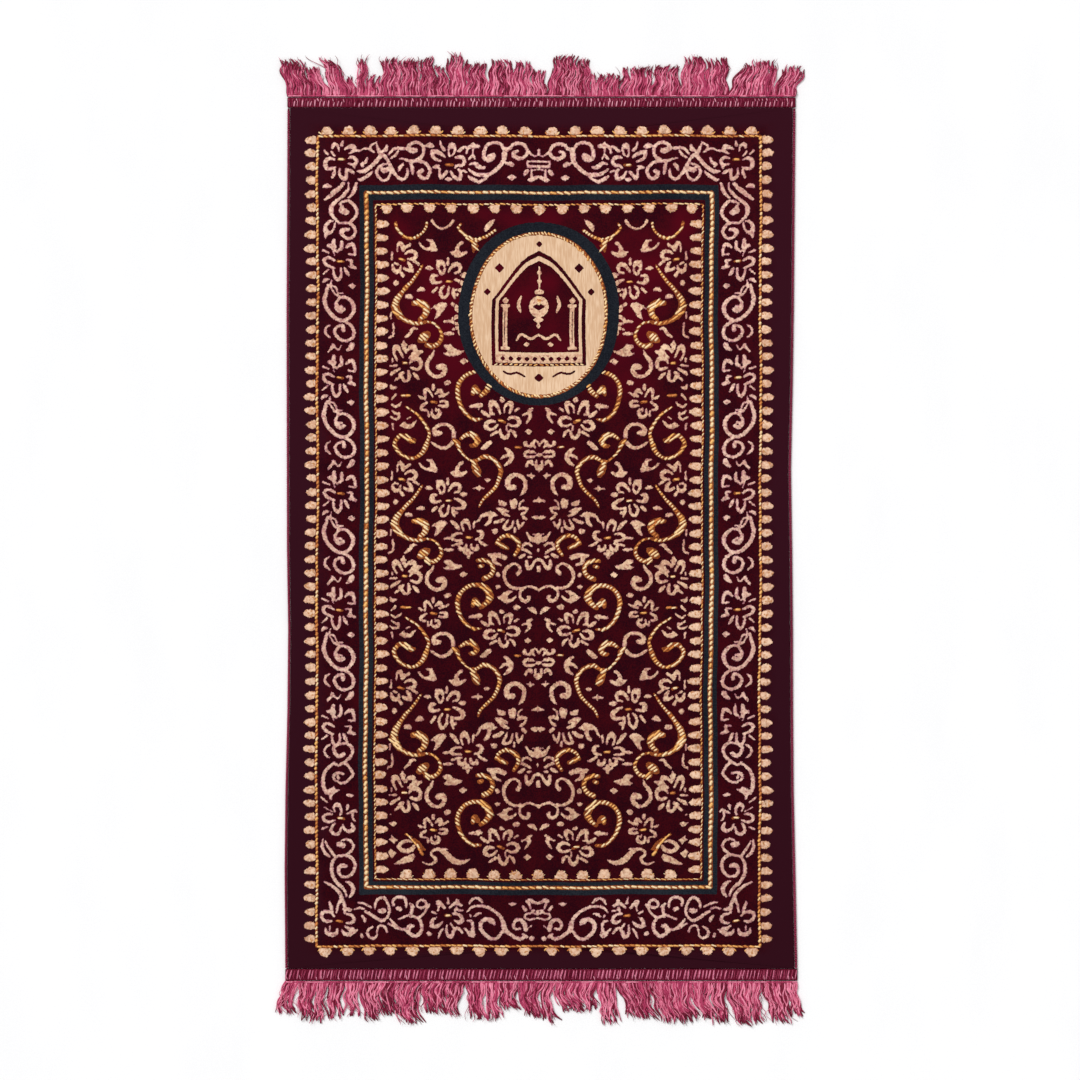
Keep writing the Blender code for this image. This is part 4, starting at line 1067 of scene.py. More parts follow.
# Lit, middling and shaded copies of one gold, dealt to the stitches by Tone: painted highlight and shade.
GOLD_FINISHES = tuple(
    Finish(f"gold_thread_{shade}", light, dark, 0.5, bump=0.2, foot=0.94)
    for shade, light, dark in (("light", (255, 229, 186), (254, 207, 140)),
                               ("mid", (252, 197, 118), (236, 160, 84)),
                               ("deep", (226, 148, 76), (190, 104, 50))))
# Partly the whip thread's own colours, partly painted light: the light and pink finishes carry painted
# highlight on the stitches, and whip_shadow is painted shadow in their gaps.
WHIP_FINISHES = (
    Finish("whip_light", (236, 166, 184), (206, 122, 146), 0.7, shine=0.1),
    Finish("whip_rose", (160, 62, 90), (124, 34, 60), 0.7, shine=0.1),
    Finish("whip_shadow", (112, 24, 48), (82, 12, 32), 0.8, shine=0.05),
    Finish("whip_pink", (222, 132, 158), (178, 82, 112), 0.7, shine=0.1))
# Shades of the rose yarn: partly its own varied colour, partly painted highlight on top-lit strands and
# painted shade in the gaps between them.
YARN_FINISHES = (
    Finish("yarn_pale", (248, 155, 181), (213, 98, 131), 0.6, 0.15, grain=YARN_GRAIN, patch=YARN_PATCH),
    Finish("yarn_rose", (206, 82, 119), (158, 40, 81), 0.65, 0.15, grain=YARN_GRAIN, patch=YARN_PATCH),
    Finish("yarn_deep", (141, 27, 61), (95, 10, 36), 0.7, 0.1, grain=YARN_GRAIN, patch=YARN_PATCH))


@dataclass
class RugOutline:
    """The cloth's bowed long edges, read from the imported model."""

    inset: float = 0.0045
    # How low a corner of the underside lies at most.
    underside: float = 0.0005

    def __post_init__(self) -> None:
        """Read where the cloth's underside has its corners."""
        corners = [v.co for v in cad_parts["rug_cloth"].data.vertices if v.co.z < self.underside]
        sides = [sorted({(round(co.y, 5), round(co.x, 5)) for co in corners if co.x * way > 0})
                 for way in (-1, 1)]
        self.left, self.right = (np.array(side) for side in sides)
        self.ends = (self.left[0, 0], self.left[-1, 0])

    def at(self, y: Array | float) -> tuple:
        """X of the cloth's left and right edge at a place along the rug."""
        return tuple(np.interp(y, side[:, 0], side[:, 1]) for side in (self.left, self.right))


def add_piece(name: str, points: Array, faces: list, slots: Array, finishes: tuple[Finish, ...],
              smooth: bool = True) -> bpy.types.Object:
    """Turn points and faces into a piece of the rug.

    Args:
        name: The piece's name.
        points: One row of X, Y and Z for each point.
        faces: The faces, as lists of point numbers.
        slots: The material slot of each face.
        finishes: The finish of each slot.
        smooth: Whether it is shaded smooth.

    Returns:
        The piece, riding on the rug.
    """
    mesh = bpy.data.meshes.new(name)
    mesh.from_pydata(np.asarray(points).tolist(), [], faces)
    for finish in finishes:
        mesh.materials.append(bpy.data.materials.get(finish.name) or finish.make())
    mesh.polygons.foreach_set("material_index", np.asarray(slots, np.int32))
    mesh.polygons.foreach_set("use_smooth", np.full(len(mesh.polygons), smooth))
    mesh.update()
    piece = bpy.data.objects.new(name, mesh)
    bpy.context.scene.collection.objects.link(piece)
    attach(piece, "root")
    LOG.info("%s: %d faces", name, len(mesh.polygons))
    return piece


def lay_flat_uv(piece: bpy.types.Object) -> None:
    """Give a flat piece a UV map whose upper side takes most of the room.

    Args:
        piece: The piece.
    """
    upper_share, gap, facing_up = 0.86, 0.01, 0.3
    mesh = piece.data
    layer = mesh.uv_layers.new(name="OFBake")
    corners = np.zeros(len(mesh.loops), np.int32)
    mesh.loops.foreach_get("vertex_index", corners)
    points = np.zeros(len(mesh.vertices) * 3, np.float32)
    mesh.vertices.foreach_get("co", points)
    points = points.reshape(-1, 3)
    normals = np.zeros(len(mesh.polygons) * 3, np.float32)
    mesh.polygons.foreach_get("normal", normals)
    totals = np.zeros(len(mesh.polygons), np.int32)
    mesh.polygons.foreach_get("loop_total", totals)
    low, high = points.min(0), points.max(0)
    share = (points - low) / (high - low)
    up = np.repeat(normals.reshape(-1, 3)[:, 2] > facing_up, totals)
    across = share[corners, 0]
    uv = np.empty((len(corners), 2), np.float32)
    uv[:, 0] = np.where(up, across * upper_share, upper_share + gap + across * (1 - 2 * gap - upper_share))
    uv[:, 1] = share[corners, 1]
    layer.data.foreach_set("uv", uv.ravel())


@dataclass(frozen=True)
class CutChart:
    """A chart cut into triangles along its outlines: outline points first, then those of a rim."""

    nodes: Array
    points: Array
    triangles: Array
    slots: Array


@dataclass
class Cutter:
    """Cuts a chart along the outlines of its threads, eased into the ragged edge of cut pile."""

    loom: Loom
    ragged: float
    seed: int = 3
    # How far a point is pulled between its neighbours, in turn.
    pulls: Pair = (0.55, 0.35)

    def _boundaries(self, whole: Array) -> tuple[Array, Array]:
        """Find the lines between squares of different threads.

        Args:
            whole: The threads of the whole chart.

        Returns:
            The grid nodes that the lines touch, as (row, column), and the lines, as pairs of
            numbers into those nodes.
        """
        tall, wide = whole.shape
        upright = np.zeros((tall, wide + 1), bool)
        upright[:, 1:-1] = whole[:, 1:] != whole[:, :-1]
        level = np.zeros((tall + 1, wide), bool)
        level[1:-1] = whole[1:] != whole[:-1]
        joined = np.concatenate([self._thinned(edges, step, upright, level, wide + 1)
                                 for edges, step in ((upright, (1, 0)), (level, (0, 1)))])
        nodes, numbered = np.unique(joined, return_inverse=True)
        return np.stack(np.divmod(nodes, wide + 1), 1), numbered.reshape(-1, 2)

    def _thinned(self, edges: Array, step: tuple[int, int], upright: Array, level: Array,
                 stride: int) -> Array:
        """Join the short lines of a straight run in pairs, where nothing else meets them.

        Args:
            edges: The lines that run one way.
            step: That way, as (rows, columns).
            upright: All upright lines.
            level: All level lines.
            stride: How many grid nodes a row has.

        Returns:
            The lines as pairs of node numbers.
        """
        tall, wide = level.shape[0], upright.shape[1]
        meets = np.zeros((tall, wide), np.uint8)
        meets[:-1] += upright
        meets[1:] += upright
        meets[:, :-1] += level
        meets[:, 1:] += level
        after = np.zeros((tall, wide), bool)
        before = np.zeros((tall, wide), bool)
        after[:edges.shape[0], :edges.shape[1]] = edges
        before[step[0]:, step[1]:] = edges
        straight = after & before & (meets == 2)
        both = np.zeros_like(straight)
        if step[0]:
            both[1:-1] = straight[:-2] & straight[2:]
            parity = np.arange(tall)[:, None] % 2 == 1
        else:
            both[:, 1:-1] = straight[:, :-2] & straight[:, 2:]
            parity = np.arange(wide)[None, :] % 2 == 1
        dropped = straight & both & parity
        hop = step[0] * stride + step[1]
        rows, columns = np.nonzero(edges)
        keep = ~dropped[rows, columns] & ~dropped[rows + step[0], columns + step[1]]
        start = rows[keep] * stride + columns[keep]
        gone = np.nonzero(dropped)
        bridged = gone[0] * stride + gone[1]
        return np.concatenate([np.stack([start, start + hop], 1),
                               np.stack([bridged - hop, bridged + hop], 1)])

    def _eased(self, flat: Array, lines: Array) -> Array:
        """Turn the squared outlines into ragged curves."""
        eased = flat.copy()
        for pull in self.pulls:
            total = np.zeros_like(eased)
            meets = np.zeros(len(flat))
            for near, far in (lines.T, lines.T[::-1]):
                np.add.at(total, near, eased[far])
                np.add.at(meets, near, 1)
            eased += pull * (total / meets[:, None] - eased) * (meets[:, None] == 2)
        return eased + np.random.default_rng(self.seed).normal(0, self.ragged, eased.shape)

    def cut(self, chart: Chart, threads: Array, rim: Array | None = None) -> CutChart:
        """Cut a chart.

        Args:
            chart: The chart, for its size and its first row.
            threads: The threads of its half, which may be some of the chart's own.
            rim: A ring of X and Y in metres that is cut as well.

        Returns:
            The cut chart, mirrored to both halves, with its faces turned up.
        """
        whole = np.hstack([threads[:, ::-1], threads])
        nodes, lines = self._boundaries(whole)
        flat = np.stack([(nodes[:, 1] - threads.shape[1]) * chart.cell,
                         chart.first_row + nodes[:, 0] * chart.cell], 1)
        points = np.column_stack(self.loom.place(*self._eased(flat, lines).T))
        if rim is not None:
            rim_row = self.loom.origin_row - rim[:, 1] / self.loom.knot
            ring = len(flat) + np.arange(len(rim))
            rim_column = rim[:, 0] / self.loom.knot - self.loom.axis(rim_row)
            flat = np.vstack([flat, np.stack([rim_column, rim_row], 1)])
            lines = np.vstack([lines, np.stack([ring, np.roll(ring, -1)], 1)])
            points = np.vstack([points, rim])
        _, _, faces, origins, _, _ = delaunay_2d_cdt(
            [Vector(point) for point in flat.tolist()], lines.tolist(), [], 0, 1e-6, True)
        triangles = np.array([source[0] for source in origins])[np.array(faces)]
        middle = flat[triangles].mean(1)
        columns = np.floor(middle[:, 0] / chart.cell).astype(int) + threads.shape[1]
        rows = np.floor((middle[:, 1] - chart.first_row) / chart.cell).astype(int)
        charted = (columns >= 0) & (columns < whole.shape[1]) & (rows >= 0) & (rows < whole.shape[0])
        slots = np.full(len(triangles), Thread.GROUND)
        slots[charted] = whole[rows[charted], columns[charted]]
        first, second = (points[triangles[:, k]] - points[triangles[:, 0]] for k in (1, 2))
        turned = first[:, 0] * second[:, 1] - first[:, 1] * second[:, 0] < 0
        triangles[turned] = triangles[turned][:, ::-1]
        return CutChart(nodes, points, triangles, slots)


@dataclass
class PileCloth:
    """The velvet itself: one slab of ground, frames and medallion, with its motifs raised on it."""

    loom: Loom
    outline: RugOutline
    field_pattern: FieldPattern
    border: BorderPattern
    medallion: Medallion
    thickness: float = 0.0042
    rounding: float = 0.0009
    cell: float = 0.76
    reach: float = 240.0
    rows: Pair = (118.0, 962.0)
    relief: float = 0.0004
    # How far a motif's rim sinks into the slab.
    sink: float = 0.0001
    rim_points: int = 61
    # Where the rim has one more ring, as a share of its rounding.
    rounding_share: float = 0.2929
    # How ragged the slab's outlines and those of the motifs are, in knots.
    slab_ragged: float = 0.12
    motif_ragged: float = 0.27

    def _rim(self, inset: float) -> Array:
        """The cloth's outline in metres, some way inside its edge, counter-clockwise."""
        low, high = self.outline.ends[0] + inset, self.outline.ends[1] - inset
        along = np.linspace(low, high, self.rim_points)
        left, right = self.outline.at(along)
        return np.concatenate([np.stack([right - inset, along], 1),
                               np.stack([left + inset, along], 1)[::-1]])

    def build(self) -> bpy.types.Object:
        """Chart the rug's left half, then cut the slab and the motifs along it.

        Returns:
            The slab, standing for the CAD cloth.
        """
        chart = Chart(self.reach, self.rows, self.cell)
        self.field_pattern.weave(chart)
        self.border.weave(chart)
        self.medallion.weave(chart)
        motifs = (chart.threads == Thread.BEIGE) & ~self.medallion.hides(chart.u[None, :], chart.v[:, None])
        field_rows = (chart.v > self.border.inner.rows[0]) & (chart.v < self.border.inner.rows[1])
        in_field = field_rows[:, None] & (chart.u < self.border.inner.column)[None, :]
        raised = motifs | (chart.threads == Thread.TOOTH)
        piece = self._slab(chart, np.where(raised, Thread.GROUND, chart.threads))
        self._raise_motifs("tooth_rows", chart, chart.threads == Thread.TOOTH)
        self._raise_motifs("field_motifs", chart, motifs & in_field)
        self._raise_motifs("border_motifs", chart, motifs & ~in_field)
        return piece

    def _raise_motifs(self, name: str, chart: Chart, motifs: Array) -> None:
        """Raise the motifs a little on the slab, with a rim sloping down round each that is coloured as
        painted shade.

        Args:
            name: What the piece is called.
            chart: The chart that they come from.
            motifs: Which of its squares they fill.
        """
        inner = motifs.copy()
        for axis in (0, 1):
            for way in (-1, 1):
                inner &= np.roll(motifs, way, axis)
        inner[:, 0] = motifs[:, 0] & motifs[:, 1]
        labels = np.where(inner, Thread.BEIGE, np.where(motifs, Thread.WORN, Thread.GROUND)).astype(np.uint8)
        cut = Cutter(self.loom, self.motif_ragged, len(name)).cut(chart, labels)
        covered = np.pad(np.hstack([motifs[:, ::-1], motifs]), 1)
        row, column = cut.nodes.T
        high = np.logical_and.reduce([covered[row + down, column + right]
                                      for down in (0, 1) for right in (0, 1)])
        level = self.thickness + np.where(high, self.relief, -self.sink)
        kept = cut.slots != Thread.GROUND
        used, triangles = np.unique(cut.triangles[kept], return_inverse=True)
        points = np.column_stack([cut.points, level])[used]
        piece = add_piece(name, points, triangles.reshape(-1, 3).tolist(), cut.slots[kept] == Thread.WORN,
                          MOTIF_FINISHES[name])
        lay_flat_uv(piece)

    def _slab(self, chart: Chart, threads: Array) -> bpy.types.Object:
        """Cut the slab's top, round its rim over and close it below.

        Args:
            chart: The chart.
            threads: Its threads without the raised motifs.

        Returns:
            The slab.
        """
        rim = self._rim(self.rounding)
        cut = Cutter(self.loom, self.slab_ragged).cut(chart, threads, rim)
        x, y = cut.points[cut.triangles].mean(1).T
        left, right = self.outline.at(y)
        inside = (x > left + self.rounding) & (x < right - self.rounding)
        faces = cut.triangles[inside].tolist()
        slots = [cut.slots[inside]]
        points = [np.column_stack([cut.points, np.full(len(cut.points), self.thickness)])]
        total = len(cut.points)
        upper = np.arange(total - len(rim), total)
        side = self.rounding_share * self.rounding
        for inset, height, thread in ((side, self.thickness - side, Thread.GROUND),
                                      (0.0, self.thickness - self.rounding, Thread.GROUND),
                                      (0.0, 0.0, Thread.BACKING)):
            lower = total + np.arange(len(rim))
            points.append(np.column_stack([self._rim(inset), np.full(len(rim), height)]))
            faces += np.stack([lower, np.roll(lower, -1), np.roll(upper, -1), upper], 1).tolist()
            slots.append(np.full(len(rim), thread))
            upper = lower
            total += len(rim)
        faces.append(upper[::-1].tolist())
        slots.append(np.array([Thread.BACKING]))
        piece = add_piece("pile_cloth", np.vstack(points), faces, np.concatenate(slots), PILE_FINISHES,
                          smooth=False)
        lay_flat_uv(piece)
        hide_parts("rug_cloth")
        return piece


# One lying stitch: two pointed ends and two three-cornered rings, of unit size.
STITCH_POINTS = np.array([(-1, 0, 0.15), (-0.62, -1, 0), (-0.5, 0, 1), (-0.62, 1, 0),
                          (0.62, -1, 0), (0.5, 0, 1), (0.62, 1, 0), (1, 0, 0.15)], float)
STITCH_FACES = ((0, 1, 2), (0, 2, 3), (0, 3, 1), (1, 4, 5, 2), (2, 5, 6, 3), (3, 6, 4, 1),
                (7, 5, 4), (7, 6, 5), (7, 4, 6))


@dataclass
class GoldThread:
    """Every stitch of gold thread: scrolls, twisted lines, tooth edges and the medallion's rim."""

    loom: Loom
    field_pattern: FieldPattern
    border: BorderPattern
    medallion: Medallion
    surface: float = 0.0041
    # A stitch's height beside its half width.
    height_share: float = 0.62
    seed: int = 8
    # How a stitch strays: in knots, in radians, and in shares of its length and width.
    stray: float = 0.25
    twist: float = 0.16
    length_scatter: Pair = (0.82, 1.15)
    width_scatter: Pair = (0.8, 1.2)
    # Its lean on the sides and ends of a frame, in degrees.
    side_lean: float = 27.0
    end_lean: float = 12.0
    # Along a scroll: the step, the least that a step uses up, how flat a stitch may run, how far one
    # reaches past the scroll, how far at least, and its width at no width and for each knot.
    step: float = 0.35
    least_room: float = 0.55
    least_across: float = 0.3
    overreach: float = 2.0
    least_reach: float = 1.1
    thickening: Pair = (0.7, 0.8)
    # How far it stays inside the field's sides and ends, and clear of the oval above and below.
    field_gap: Pair = (0.6, 1.0)
    oval_margins: Pair = (1.09, 0.99)
    # At the border's end teeth: places, rise and its growth, lean, half length and half width.
    foot_places: tuple[float, ...] = (-6.0, -4.4, 4.4, 6.0)
    foot_rise: Pair = (1.6, 0.3)
    foot_lean: float = 0.8
    foot_stitch: Pair = (2.0, 0.75)
    # Round the field's end teeth: turns, their scatter, half sizes, foot, half length and half width.
    dome_turns: tuple[float, ...] = (0.5, 1.15, 1.9, 2.7)
    dome_scatter: float = 0.2
    dome_half: Pair = (6.4, 8.4)
    dome_foot: float = 0.8
    dome_stitch: Pair = (1.3, 0.5)
    # On the medallion's rim: how far in, how many, how they stray and lean, and their sizes.
    rim_inset: float = 1.6
    rim_count: int = 132
    rim_stray: Pair = (-0.5, 0.7)
    rim_lean: Pair = (0.4, 1.0)
    rim_stitch: Pair = (2.2, 1.0)
    rim_scatter: tuple[Pair, Pair] = ((0.6, 1.25), (0.7, 1.2))
    # The niche's sill and the lamp's drop: row, step, half length and half width.
    sill: tuple[float, ...] = (364.4, 5, 2.2, 0.8)
    drop: tuple[float, ...] = (296, 1.6, 3.2, 0.7)
    stitches: list = field(default_factory=list)

    def __post_init__(self) -> None:
        """Start the scatter that makes stitches uneven."""
        self.scatter = random.Random(self.seed)

    def _stitch(self, column: float, row: float, heading: float, half_length: float, half_width: float,
                tone: Tone = Tone.BRIGHT) -> None:
        """Lay one stitch on the pile.

        Args:
            column: Its place in knots from the middle line, positive to the right.
            row: Its row on the rug.
            heading: The way it runs on the chart, in radians.
            half_length: Half its length in knots.
            half_width: Half its width in knots.
            tone: How light the gold is there.
        """
        lot = self.scatter.random()
        light, middling = tone.value
        slot = 0 if lot < light else 1 if lot < middling else 2
        draw = self.scatter.uniform
        self.stitches.append((column + draw(-self.stray, self.stray), row + draw(-self.stray, self.stray),
                              heading + draw(-self.twist, self.twist),
                              half_length * draw(*self.length_scatter),
                              half_width * draw(*self.width_scatter), slot))

    @staticmethod
    def _walk(path: Array, pitch: float) -> Iterator[tuple[float, float, float, float]]:
        """Step along a line.

        Args:
            path: The line's points as column, row and width.
            pitch: The length of a step in knots.

        Yields:
            Column, row, width and heading at the middle of each step.
        """
        legs = np.hypot(np.diff(path[:, 0]), np.diff(path[:, 1]))
        walked = np.concatenate([[0], np.cumsum(legs)])
        for at in np.arange(pitch / 2, walked[-1], pitch):
            column, row, width = (float(np.interp(at, walked, path[:, k])) for k in range(3))
            leg = min(max(np.searchsorted(walked, at) - 1, 0), len(legs) - 1)
            step = path[leg + 1] - path[leg]
            yield column, row, width, math.atan2(step[1], step[0])

    def _follow(self, path: Array, scroll: Scroll, side: int, clipped: bool = True) -> None:
        """Lay a scroll's stitches across it, each wherever the last has left room.

        Args:
            path: The scroll's points where it lies, as column, row and width.
            scroll: The scroll, which says how its stitches lie.
            side: The half of the rug, -1 or 1, as the lean turns over with it.
            clipped: Whether stitches beyond the field or under the medallion are left out.
        """
        heading = -math.radians(scroll.lean) * side
        room = scroll.spacing / 2
        thin, thicker = self.thickening
        for column, row, width, along in self._walk(path, self.step):
            across = abs(math.sin(heading - along))
            room += self.step * max(across, self.least_room)
            if room < scroll.spacing:
                continue
            room = 0.0
            if clipped and not self._shows(column, row):
                continue
            reach = max(min(0.5 * width / max(across, self.least_across), 0.5 * width + self.overreach),
                        self.least_reach)
            abreast = 1 if across > 0.5 else max(1, round(width / scroll.spacing))
            for k in range(abreast):
                aside = (k - (abreast - 1) / 2) * scroll.spacing
                self._stitch(column - aside * math.sin(along), row + aside * math.cos(along), heading, reach,
                             min(scroll.slim, thin + thicker * width) / 2, scroll.tone)

    def _shows(self, column: float, row: float) -> bool:
        """Whether a place lies in the field and clear of the medallion."""
        pattern, (aside, ahead) = self.field_pattern, self.field_gap
        beyond, above, below = pattern.bare_corner
        margin = self.oval_margins[0 if row < self.medallion.ring_row else 1]
        return (abs(column) < pattern.half_width - aside
                and pattern.rows[0] + ahead < row < pattern.rows[1] - ahead
                and not self.medallion.hides(column, row, margin)
                and not (abs(column) > beyond and above < row < below))

    def _lay_field(self) -> None:
        """Lay the scrolls of every repeat on both halves."""
        pattern = self.field_pattern
        for scroll in pattern.scrolls:
            path = smooth_path(scroll.points) * (1, 1, pattern.slimming)
            for turn in (-1, 0, 1):
                unrolled = path[:, 1] + turn * pattern.repeat
                if unrolled.max() < pattern.beat[0][0] or unrolled.min() > pattern.beat[-1][0]:
                    continue
                rows = pattern.row_on_rug(unrolled)
                for side in (-1, 1):
                    self._follow(np.column_stack([side * path[:, 0], rows, path[:, 2]]), scroll, side)
        for scroll in (*pattern.head_scrolls, pattern.foot_scroll):
            for side in (-1, 1):
                self._follow(smooth_path(scroll.points) * (side, 1, 1), scroll, side, clipped=False)

    def _lay_lines(self) -> None:
        """Lay the twisted lines of the frames and the hearts of the border's flowers."""
        for line in (self.border.outer, self.border.rope, self.border.inner):
            top, bottom = line.rows
            runs = [((side * line.column, top), (side * line.column, bottom), line.side_stitch,
                     self.side_lean) for side in (-1, 1)]
            pitch, half_length, half_width = line.end_stitch
            runs += [((-line.column, row), (line.column, row), (pitch, half_length, half_width * share),
                      self.end_lean) for row, share in zip(line.rows, (1.0, line.foot))]
            for start, stop, (pitch, *halves), lean in runs:
                path = np.array([(*start, line.width), (*stop, line.width)])
                for column, row, _, heading in self._walk(path, pitch):
                    self._stitch(column, row, heading + math.radians(lean), *halves, line.tone)
        for heart in self.border.dashes:
            path = np.array(heart.points)
            for side in (-1, 1):
                self._follow(path * (side, 1, 1), heart, side, clipped=False)

    def _lay_teeth(self) -> None:
        """Catch the foot of every end tooth, or its dome in the field, with a few stitches."""
        low, rise = self.foot_rise
        for columns, line, way, _ in self.border.outer_end_rows():
            for column, side, place in itertools.product(columns, (-1, 1), self.foot_places):
                self._stitch(side * (column + place), line + way * (low + rise * abs(place)),
                             self.foot_lean * way * side * math.copysign(1, place), *self.foot_stitch,
                             Tone.WARM)
        half_u, half_v = self.dome_half
        for columns, line, way, size in self.border.field_end_rows():
            for column, side, turn in itertools.product(columns, (-1, 1), self.dome_turns):
                angle = turn + self.scatter.uniform(-self.dome_scatter, self.dome_scatter)
                self._stitch(side * (column + half_u * size * math.cos(angle)),
                             line + way * size * (self.dome_foot + half_v * math.sin(angle)),
                             angle * way * side, *self.dome_stitch)

    def _lay_medallion(self) -> None:
        """Edge the medallion with short slanting stitches, and touch up its niche."""
        draw, centre = self.scatter.uniform, self.medallion.centre_row
        half_u, half_v = (half - self.rim_inset for half in self.medallion.half)
        half_length, half_width = self.rim_stitch
        lengths, widths = self.rim_scatter
        for k in range(self.rim_count):
            angle = 2 * math.pi * k / self.rim_count
            out = draw(*self.rim_stray)
            heading = math.atan2(half_v * math.cos(angle), -half_u * math.sin(angle))
            self._stitch((half_u + out) * math.cos(angle), centre + (half_v + out) * math.sin(angle),
                         heading + draw(*self.rim_lean), half_length * draw(*lengths),
                         half_width * draw(*widths), Tone.GLOSSY)
        row, step, half_length, half_width = self.sill
        for side, k in itertools.product((-1, 1), range(9)):
            self._stitch(side * (3 + step * k), row, 0.3 * side, half_length, half_width)
        row, step, half_length, half_width = self.drop
        for k in range(6):
            self._stitch(0, row + step * k, 0.2, half_length - 0.3 * k, half_width)

    def build(self) -> None:
        """Lay all the gold and join it into one piece."""
        self._lay_field()
        self._lay_lines()
        self._lay_teeth()
        self._lay_medallion()
        data = np.array(self.stitches)
        knot = self.loom.knot
        x, y = self.loom.place(data[:, 0], data[:, 1])
        along, across = data[:, 3] * knot, data[:, 4] * knot
        cos, sin = np.cos(data[:, 2]), -np.sin(data[:, 2])
        unit = STITCH_POINTS[None]
        long_way = unit[..., 0] * along[:, None]
        wide_way = unit[..., 1] * across[:, None]
        points = np.stack([x[:, None] + long_way * cos[:, None] - wide_way * sin[:, None],
                           y[:, None] + long_way * sin[:, None] + wide_way * cos[:, None],
                           self.surface + unit[..., 2] * self.height_share * across[:, None]], 2)
        faces = [[corner + len(STITCH_POINTS) * n for corner in face]
                 for n in range(len(data)) for face in STITCH_FACES]
        slots = np.repeat(data[:, 5].astype(int), len(STITCH_FACES))
        piece = add_piece("gold_thread", points.reshape(-1, 3), faces, slots, GOLD_FINISHES)
        lay_flat_uv(piece)


def unit_rows(rows: Array) -> Array:
    """Rows scaled to a length of one."""
    return rows / (np.linalg.norm(rows, axis=1)[:, None] + 1e-12)


def tubes(paths: list[Array], sides: int, turn: float = 0.0,
          out: Array | None = None) -> tuple[Array, list, Array]:
    """Sweep a round section along many lines.

    Args:
        paths: The lines, each as rows of X, Y, Z, half width and half height.
        sides: The corners of the section.
        turn: How far the section's corners are turned, in radians.
        out: The way that its height points at each point of the lines, or None for upwards.

    Returns:
        The points, the faces and the number of the line that each face belongs to.
    """
    angles = turn + 2 * math.pi * np.arange(sides) / sides
    points, faces, owners = [], [], []
    total = 0
    for number, path in enumerate(paths):
        ahead = unit_rows(np.gradient(path[:, :3], axis=0))
        side = unit_rows(np.cross(ahead, (0.0, 0.0, 1.0))) if out is None else np.cross(ahead, out)
        above = np.cross(side, ahead) if out is None else out
        rings = (path[:, None, :3] + side[:, None] * (path[:, 3, None] * np.cos(angles))[..., None]
                 + above[:, None] * (path[:, 4, None] * np.sin(angles))[..., None])
        points.append(rings.reshape(-1, 3))
        count = len(path)
        near = total + (np.arange(count - 1)[:, None] * sides + np.arange(sides)[None])
        after = total + (np.arange(count - 1)[:, None] * sides + (np.arange(sides)[None] + 1) % sides)
        quads = np.stack([near, near + sides, after + sides, after], 2).reshape(-1, 4)
        faces += quads.tolist()
        faces.append(list(range(total, total + sides)))
        faces.append(list(range(total + count * sides - 1, total + (count - 1) * sides - 1, -1)))
        owners.append(np.full(len(quads) + 2, number))
        total += count * sides
    return np.vstack(points), faces, np.concatenate(owners)


@dataclass
class Selvedge:
    """A long edge whipped over and over with thread."""

    name: str
    side: int
    outline: RugOutline
    width: float = 0.0042
    height: float = 0.0040
    wrap_pitch: float = 0.0031
    steps: int = 7
    thread: float = 0.00062
    # How wide the thread is beside its height, and how far it strays along the edge.
    flatness: float = 1.9
    stray: float = 0.0002
    # The core: points, how far short of the ends it stops, and how far it lies inside the edge's
    # outline. The thread's middle lies inside it too, both as shares of the thread.
    core_points: int = 60
    core_gap: float = 0.0006
    core_inset: float = 1.2
    wrap_inset: float = 0.9

    def build(self) -> None:
        """Wind the thread round its core, to stand for the CAD cord."""
        low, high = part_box(self.name)
        rows = np.linspace(low.y + self.core_gap, high.y - self.core_gap, self.core_points)
        core = np.column_stack([self._middle(rows), rows, *np.multiply.outer(
            (self.height / 2, self.width / 2 - self.thread * self.core_inset,
             self.height / 2 - self.thread * self.core_inset), np.ones(self.core_points))])
        turns = int((high.y - low.y - 2 * self.thread) / self.wrap_pitch)
        count = turns * self.steps
        phase = 2 * math.pi * np.arange(count) / self.steps
        y = low.y + self.thread + self.wrap_pitch * np.arange(count) / self.steps
        scatter = random.Random(self.side)
        y += np.array([scatter.uniform(-1, 1) for _ in range(count)]) * self.stray
        middle = np.column_stack([self._middle(y), y, np.full(count, self.height / 2)])
        across = (self.width / 2 - self.thread * self.wrap_inset) * np.cos(phase)
        up = (self.height / 2 - self.thread) * np.sin(phase)
        wrap = np.column_stack([middle[:, 0] + across, y, middle[:, 2] + up,
                                np.full(count, self.thread * self.flatness), np.full(count, self.thread)])
        points, faces, _ = tubes([core], 8)
        wrap_points, wrap_faces, _ = tubes([wrap], 4, out=unit_rows(wrap[:, :3] - middle))
        slots = np.repeat((1, 0), (len(faces), len(wrap_faces)))
        faces += [[corner + len(points) for corner in face] for face in wrap_faces]
        piece = add_piece(self.name.replace("selvedge", "serging"), np.vstack([points, wrap_points]), faces,
                          slots, WHIP_FINISHES[1:])
        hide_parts(self.name)

    def _middle(self, y: Array) -> Array:
        """X of the edge's own middle."""
        left, right = self.outline.at(y)
        gap = self.outline.inset - self.width / 2
        return left - gap if self.side < 0 else right + gap


@dataclass(frozen=True)
class StitchRow:
    """One row of whip stitches over an end binding."""

    # The stretch of the binding that it covers, from the cloth outwards.
    reach: Pair
    pitch: float
    slant: float
    thread: float
    # How many stitches are light, and how many are light or rose.
    odds: Pair
    lift: float = 0.0
    # The finish of its light stitches.
    light: int = 0


